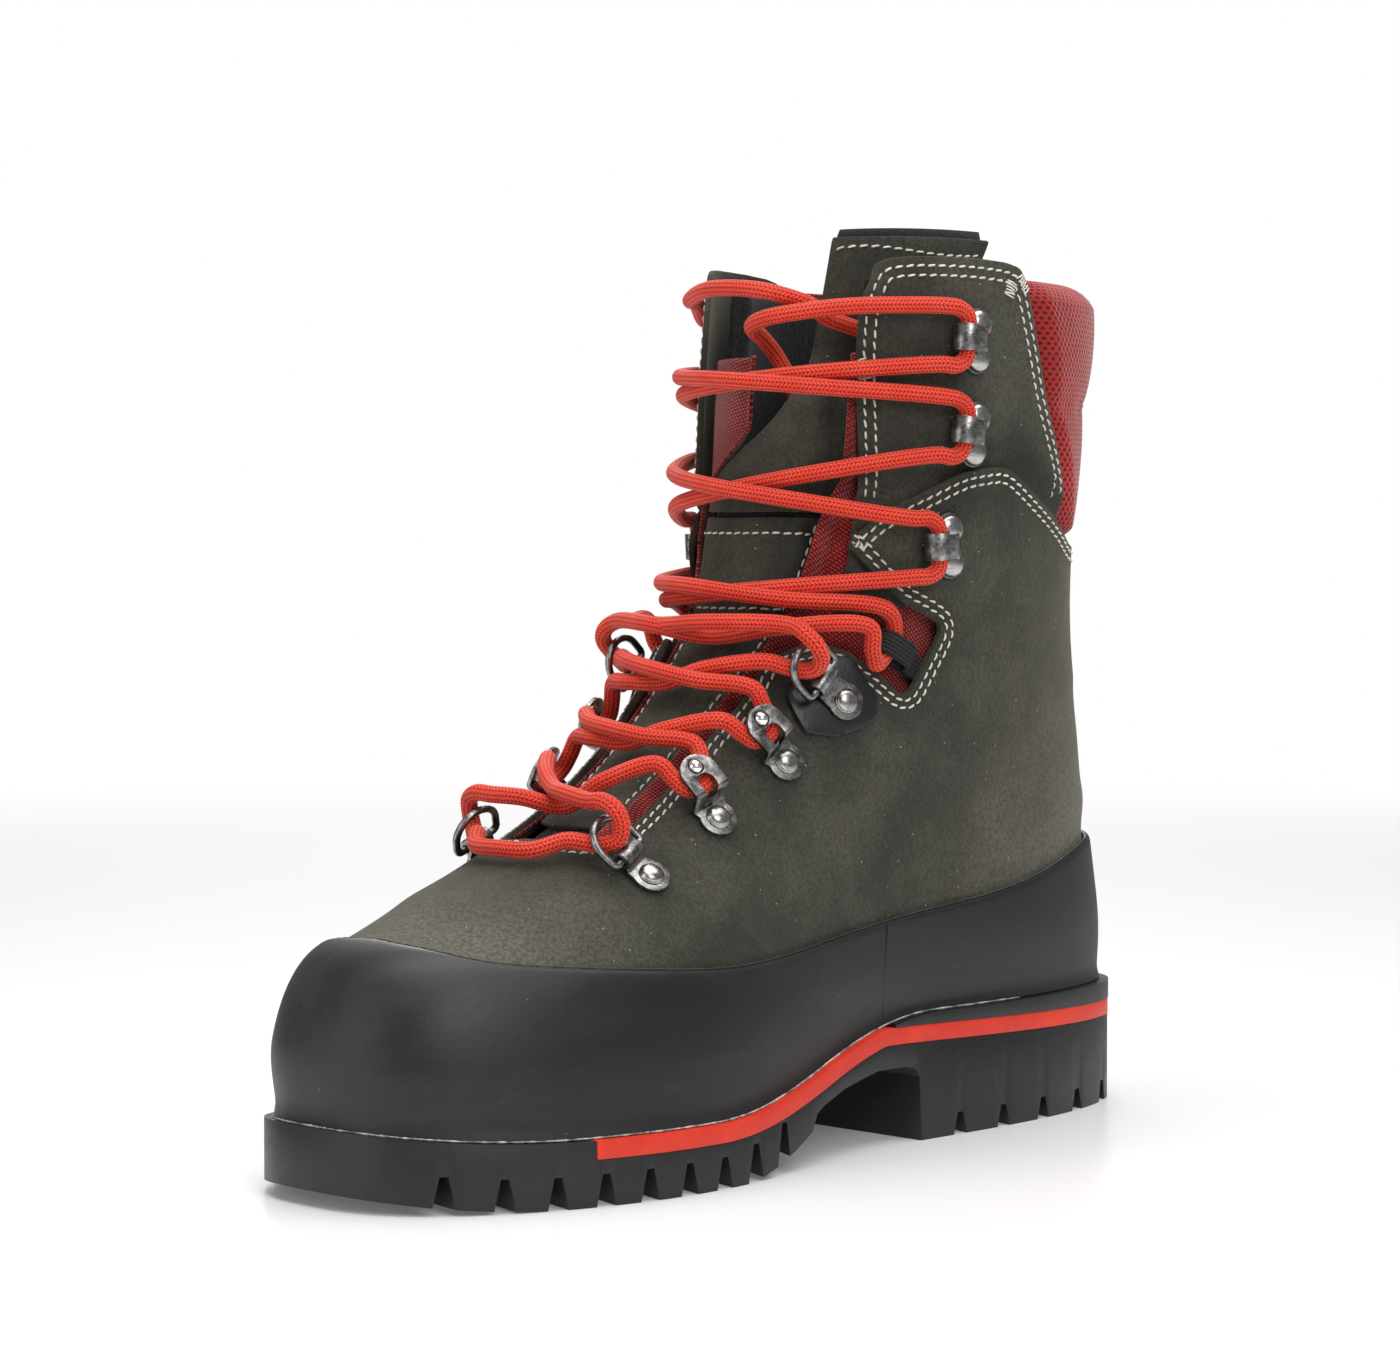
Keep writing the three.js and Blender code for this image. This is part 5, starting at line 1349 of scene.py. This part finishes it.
def build_eyelet():
    """A plate that steps up and over, with a slot for the lace and a seat for the ball."""
    t, e = PLATE, EYELET_TOP
    profile = [(-8, 0), (4.3, 0), (4.9, 0.15), (5.25, 0.6), (6.5, e - t - 0.7), (6.85, e - t - 0.15),
               (7.3, e - t), (18.4, e - t), (19.2, e - t - 0.35), (19.4, e), (6.7, e), (6.0, e - 0.25),
               (5.6, e - 0.8), (4.35, t + 0.45), (3.9, t), (-8, t)]
    plan = arc(0, 0, FOOT_RADIUS, 64, 296, 36) + [(2.6, -4.9), (3.6, -5.4), (5.2, -5.9)]
    plan += arc(BALL_X - 2.4, 0, 6, -78, 78, 30) + [(5.2, 5.9), (3.6, 5.4), (2.6, 4.9)]
    slot = arc(7.4, 0, 2.6, 90, 270, 16) + arc(8.8, 0, 2.6, -90, 90, 16)
    body = cut(strip("eyelet", profile, 40), block(plan, -3, 12), "INTERSECT")
    body = cut(body, block(slot, 2.5, 12), "DIFFERENCE")
    body = drill(body, BALL_X, 0, BALL_RADIUS + 0.22, 3, 16)
    return dress(drill(body, 0, 0, RIVET_HOLE), METAL, 0.3, 2, 38, 42, 0.01)


def build_hook():
    """An open speed hook: a curled band on a foot with two rivet heads."""
    t, inner = PLATE, HOOK_GAP / 2
    outer = inner + t
    curl = [(-2, 0), (HOOK_X, 0)] + arc(HOOK_X, outer, outer, -90, 90, 26)[1:]
    curl += [(1.9, 2 * outer), (1.5, 2 * outer - 0.3), (1.5, 2 * outer - t + 0.2), (1.9, 2 * outer - t)]
    curl += arc(HOOK_X, outer, inner, 90, -90, 22) + [(-2, t)]
    edge = [(-3, 4), (0.5, 3.9), (3, 3.5), (5.5, 3.6), (8, 4.0), (14, 4.0)]
    waist = [(x, -y) for x, y in edge] + edge[::-1]
    foot = arc(0, HOOK_RIVET, 4.7, -20, 200, 24) + [(-3.4, 1.2), (-3.1, 0), (-3.4, -1.2)]
    foot += arc(0, -HOOK_RIVET, 4.7, 160, 380, 24) + [(3.6, -1.6), (3.6, 1.6)]
    band = cut(strip("hook", curl, HOOK_WIDTH), block(waist, -3, 14), "INTERSECT")
    body = dress(cut(band, block(foot, 0, t), "UNION"), METAL, 0.28, 2, 38, 42, 0.01)
    head = [(3.6, t - 0.3), (4.2, t), (4.28, t + 0.25)]
    cap = np.linspace(0.1, math.pi / 2, 15)[:-1]
    head += [(4.15 * math.cos(a), t + 0.3 + 2.3 * math.sin(a)) for a in cap]
    return body, [lathe("head", head + [(0, t + 2.6)], DOME, y=y) for y in (-HOOK_RIVET, HOOK_RIVET)]


def build_loop():
    """A folded webbing loop: a band over the fold, thicker at the selvedges."""
    inner = HOOK_GAP / 2
    mid, outer = inner + 0.7, inner + 1.4
    path = [(x, 0.7) for x in (-9, -5, -2, 1.5, 4.5)] + arc(7, outer, mid, -90, 90, 22)
    path += [(4.5, outer + mid), (1.8, outer + mid), (0.2, outer + mid - 1.0), (-1.6, 2.4), (-3.2, 1.9),
             (-6, 1.95), (-9, 1.95)]
    p = np.array(path)
    t = np.gradient(p, axis=0)
    t /= np.linalg.norm(t, axis=1, keepdims=True)
    d = lengths(p)
    ys = np.linspace(-3.5, 3.5, 19)
    thick = (0.52 + 0.16 * np.exp(-((abs(ys) - 3.1) / 0.5) ** 2)) * np.where(abs(ys) > 3.45, 0.4, 1)
    verts, uv = [], []
    for face in (1, -1):
        for k in range(len(p)):
            out_x, out_z = -t[k, 1] * face, t[k, 0] * face
            verts += [(p[k, 0] + out_x * h, y, p[k, 1] + out_z * h) for y, h in zip(ys, thick)]
            uv += [(y, d[k]) for y in ys]
    n, m = len(p), len(ys)
    under = n * m
    faces = net(n, m) + net(n, m, under, flip=True)
    for k in range(n - 1):
        for a in (k * m, k * m + m - 1):
            faces.append((a, a + m, under + a + m, under + a))
    for k in (0, n - 1):
        for a in range(k * m, k * m + m - 1):
            faces.append((a, under + a, under + a + 1, a + 1))
    return edit(raw("loop", verts, faces, WEBBING, smooth=True, uv=uv), outwards)


def backing(row, side, name):
    """The rubber patch under the row 4 ring."""
    corners = [(10.5, -0.02), (8, 0.002), (-3, 0.038), (-13, 0.046), (-16, 0.012), (-5, -0.028), (4, -0.038)]
    loop = rounded(np.array(corners) + row["rivet"], 1.6, step=0.6) * (side, 1)
    return panel(name + "_patch", loop, lambda deg, v: 2.1 + 0 * deg, 1.15, SOLE, step=1.6, rim=0.35)


def shift(x, z):
    return Matrix.Translation((x * MM, 0, z * MM))


RING_PLATES = {row["bar"]: build_ring_plate(row["bar"]) for row in ROWS if row["kind"] == "ring"}
RING = build_ring()
RIVET = lathe("rivet", rivet_profile(), DOME)
EYELET = build_eyelet()
BALL_MESH = lathe("ball", arc(0, 0, BALL_RADIUS, -90, 90, 25), STEEL)
HOOK, HOOK_HEADS = build_hook()
LOOP = build_loop()
RIVET_AT = shift(0, PLATE + 0.1)
RING_AT = {bar: shift(bar, BAR_Z) @ Matrix.Rotation(-math.radians(TILT), 4, "Y") for bar in RING_PLATES}
BALL_AT = shift(BALL_X, EYELET_TOP - PLATE / 2)


def fitted(template, name, where, body, node=None, extra=Matrix()):
    """A copy of a template on the boot, in its row's frame; it rides a body and may replace a node."""
    obj = bpy.data.objects.new(name, template.data)
    bpy.context.scene.collection.objects.link(obj)
    basis, origin = where
    seat = Matrix.Translation(Vector((origin + SHIFT) * MM)) @ Matrix(basis.tolist()).to_4x4()
    obj.matrix_world = seat @ extra
    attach(obj, body)
    if node:
        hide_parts(node)


FRAMES = {(row["name"], side): row_frame(row, side) for label, side in SIDES for row in ROWS}
for label, side in SIDES:
    for row in ROWS:
        where = FRAMES[(row["name"], side)]
        name = "%s_%s" % (row["name"], label)
        if row["kind"] == "ring":
            bar = row["bar"]
            fitted(RING_PLATES[bar], name + "_strap", where, ROOT, name + "_plate")
            fitted(RIVET, name + "_head", where, ROOT, name + "_rivet", RIVET_AT)
            fitted(RING, name + "_dee", where, name + "_ring_body", name + "_ring", RING_AT[bar])
            if row.get("backed"):
                patch = backing(row, side, name)
                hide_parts(name + "_backing")
        elif row["kind"] == "eyelet":
            fitted(EYELET, name + "_cage", where, ROOT, name + "_eyelet")
            fitted(RIVET, name + "_head", where, ROOT, name + "_rivet", RIVET_AT)
            fitted(BALL_MESH, name + "_bead", where, name + "_ball_body", name + "_ball",
                   BALL_AT)
        elif row["kind"] == "loop":
            fitted(LOOP, name + "_band", where, ROOT, name + "_loop")
        else:
            fitted(HOOK, name + "_curl", where, ROOT, name + "_hook")
            for k, head in enumerate(HOOK_HEADS, 1):
                fitted(head, "%s_head%d" % (name, k), where, ROOT)
for template in [*RING_PLATES.values(), RING, RIVET, EYELET, BALL_MESH, HOOK, LOOP, *HOOK_HEADS]:
    bpy.data.objects.remove(template)


# ---------------------------------------------------------------- lace
OVER_NEAR, OVER_FAR = 8.6, 3.2                      # heights of the crossings over the tongue
OVER_TOE = 4.2
TAIL_LATERAL = [(-50, 0.985, 4), (-36, 0.985, 4.4), (-12, 0.99, 5), (10, 0.985, 4), (22, 0.975, -2),
                (27, 0.965, -9), (34, 0.96, -13.2), (46, 0.95, -13.4), (60, 0.93, -13.4),
                (76, 0.88, -13.4), (86, 0.82, -13.4), (89, 0.76, -13.4)]
TAIL_MEDIAL = [(50, 0.972, 4), (36, 0.97, 4.6), (22, 0.965, 5), (10, 0.96, 4), (1, 0.955, -1),
               (-2, 0.948, -8), (-4, 0.935, -15), (0, 0.91, -20), (6, 0.88, -21.5), (10, 0.84, -21.5),
               (12, 0.8, -20.5)]


def lace_through(row):
    """The lace's points at one piece of hardware, in its row's frame."""
    if row["kind"] == "ring":
        b = row["bar"]
        return [(b + 16, -5.4, -0.4), (b + 11, -3.6, 1.3), (b + 6.6, -2, 2.9), (b + 4.4, 0, 5.4),
                (b + 5.6, 1.8, 9.2), (b + 9.2, 2.9, 11.5), (b + 13.4, 4, 10.4), (b + 17, 5.2, 6.6)]
    if row["kind"] == "eyelet":
        x = BALL_X
        return [(x + 7, -7, 3.5), (x + 1.5, -5.5, 3.2), (x - 3.3, -3.9, 3.2), (x - 5, 0, 3.2),
                (x - 3.3, 3.9, 3.2), (x + 1.5, 5.5, 3.2), (x + 7, 7, 3.5)]
    if row["kind"] == "loop":
        return [(19, -1, 11), (14.5, -5.5, 9.6), (10, -7.4, 7), (7.6, -4.6, 5), (6.9, 0, 4.4), (7, 3.5, 4.4),
                (9.5, 7.2, 4.6), (15, 8, 6)]
    z = HOOK_GAP / 2 + PLATE
    return [(14, -8.4, 3.5), (9.4, -8.2, 3.8), (6.6, -6.3, z), (5.9, -3.2, z), (5.8, 0, z), (5.9, 3.2, z),
            (6.6, 6.3, z), (9.4, 8.2, 3.8), (14, 8.4, 3.5)]


def lace_across(a, b, side, start, end, over):
    """Three points of a strand between two rows, straight in (deg, v) and highest half way."""
    d0, v0 = surface_terms(start, side * a["front"][0], a["front"][1])
    d1, v1 = surface_terms(end, -side * b["front"][0], b["front"][1])
    h0 = float(np.linalg.norm(start - surf(d0, v0)))
    h1 = float(np.linalg.norm(end - surf(d1, v1)))
    out = []
    for t in (0.25, 0.5, 0.75):
        height = lerp(lerp(h0, h1, float(ease(t))), over, math.exp(-((t - 0.5) / 0.24) ** 2))
        out.append(off(lerp(d0, d1, t), lerp(v0, v1, t), height))
    return out


def lace_half(side):
    """One half of the lace from the toe up, changing sides at each row."""
    pts = []
    for k, row in enumerate(ROWS):
        basis, origin = FRAMES[(row["name"], side)]
        new = list(np.array([(x, -side * y, z) for x, y, z in lace_through(row)]) @ basis.T + origin)
        if k > 0:
            over = OVER_NEAR if side < 0 else OVER_FAR
            pts += lace_across(ROWS[k - 1], row, -side, pts[-1], new[0], over)
        pts += new
        side = -side
    return pts


def lace_points():
    toe = [off(d, ROWS[0]["front"][1] - 0.012, OVER_TOE) for d in (14, 0, -14)]
    first = [off(*t) for t in TAIL_LATERAL[::-1]]
    last = [off(*t) for t in TAIL_MEDIAL]
    return np.array(first + lace_half(1)[::-1] + toe + lace_half(-1) + last)


def catmull(points, step=0.55):
    """Centripetal Catmull-Rom through the points, then even steps."""
    p = np.vstack([2 * points[0] - points[1], points, 2 * points[-1] - points[-2]])
    out = []
    for i in range(1, len(p) - 2):
        p0, p1, p2, p3 = p[i - 1:i + 3]
        t0 = 0.0
        t1 = t0 + np.linalg.norm(p1 - p0) ** 0.5
        t2 = t1 + np.linalg.norm(p2 - p1) ** 0.5
        t3 = t2 + np.linalg.norm(p3 - p2) ** 0.5
        for t in np.linspace(t1, t2, 14, endpoint=False):
            a1 = lerp(p0, p1, (t - t0) / (t1 - t0))
            a2 = lerp(p1, p2, (t - t1) / (t2 - t1))
            a3 = lerp(p2, p3, (t - t2) / (t3 - t2))
            b1 = lerp(a1, a2, (t - t0) / (t2 - t0))
            b2 = lerp(a2, a3, (t - t1) / (t3 - t1))
            out.append(lerp(b1, b2, (t - t1) / (t2 - t1)))
    out.append(points[-1])
    return resample(np.array(out), step, closed=False)


lace = tube("lace_braid", catmull(lace_points()), LACE_RADIUS, LACE, sides=28)
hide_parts("lace")
for node in ("aglet_lateral", "aglet_medial"):
    repaint(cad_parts[node], PLASTIC)

make("stitching", thread_verts, thread_faces, THREAD)


# ---------------------------------------------------------------- floor, light, camera
def white_floor():
    """A pale floor that fades out before its edge."""
    mesh = bpy.data.meshes.new("floor")
    mesh.from_pydata([(-6, -6, 0), (6, -6, 0), (6, 6, 0), (-6, 6, 0)], [], [(0, 1, 2, 3)])
    obj = bpy.data.objects.new("floor", mesh)
    bpy.context.scene.collection.objects.link(obj)
    n = Nodes("pale_floor")
    at = n.split(n.pos)
    reach = n.math("SQRT", n.plus(n.times(at[0], at[0]), n.times(at[1], at[1])))
    mesh.materials.append(n.set(Base_Color=(0.9, 0.9, 0.905, 1), Roughness=0.22, Specular_IOR_Level=0.5,
                                Emission_Color=(1, 1, 1, 1), Emission_Strength=0.1,
                                Alpha=n.span(reach, 1.6, 0.7)))
    return obj


def studio_world(lighting=0.30, seen=1.0):
    """White where the camera sees it, and dimmer where it lights the boot."""
    world = bpy.data.worlds.new("studio")
    bpy.context.scene.world = world
    world.use_nodes = True
    tree = world.node_tree
    backdrop = tree.nodes["Background"]
    ray = tree.nodes.new("ShaderNodeLightPath")
    level = tree.nodes.new("ShaderNodeMapRange")
    level.inputs["To Min"].default_value = lighting
    level.inputs["To Max"].default_value = seen
    tree.links.new(ray.outputs["Is Camera Ray"], level.inputs["Value"])
    tree.links.new(level.outputs[0], backdrop.inputs["Strength"])
    backdrop.inputs["Color"].default_value = (1, 1, 1, 1)


def area(name, at, target, size, power):
    light = bpy.data.lights.new(name, "AREA")
    light.energy = power
    light.shape = "RECTANGLE"
    light.size = size
    light.size_y = size
    obj = bpy.data.objects.new(name, light)
    obj.location = at
    obj.rotation_euler = (Vector(target) - Vector(at)).to_track_quat("-Z", "Y").to_euler()
    bpy.context.scene.collection.objects.link(obj)


def camera(azimuth, elevation, distance, target, lens):
    data = bpy.data.cameras.new("camera")
    obj = bpy.data.objects.new("camera", data)
    bpy.context.scene.collection.objects.link(obj)
    bpy.context.scene.camera = obj
    az, el = math.radians(azimuth), math.radians(elevation)
    back = Vector((math.sin(az) * math.cos(el), -math.cos(az) * math.cos(el), math.sin(el)))
    obj.location = Vector(target) + back * distance
    obj.rotation_euler = (-back).to_track_quat("-Z", "Y").to_euler()
    data.sensor_fit = "HORIZONTAL"
    data.sensor_width = 36
    data.lens = lens
    data.dof.use_dof = False
    data.clip_end = 50


floor = white_floor()
studio_world()
area("overhead", (0.1, 0.0, 1.5), (0, 0, 0), 1.5, 27)
area("key", (1.2, -0.5, 0.9), (0, 0, 0.12), 0.7, 9)
area("fill", (-0.3, -1.5, 0.5), (0, 0, 0.12), 0.9, 5)
area("rim", (-1.0, 0.9, 0.8), (0, 0, 0.15), 0.7, 6)
camera(45.54, 2.06, 1.100, (-0.019755, 0.0085, 0.1346), 96.25)
bpy.context.scene.view_settings.view_transform = "Standard"
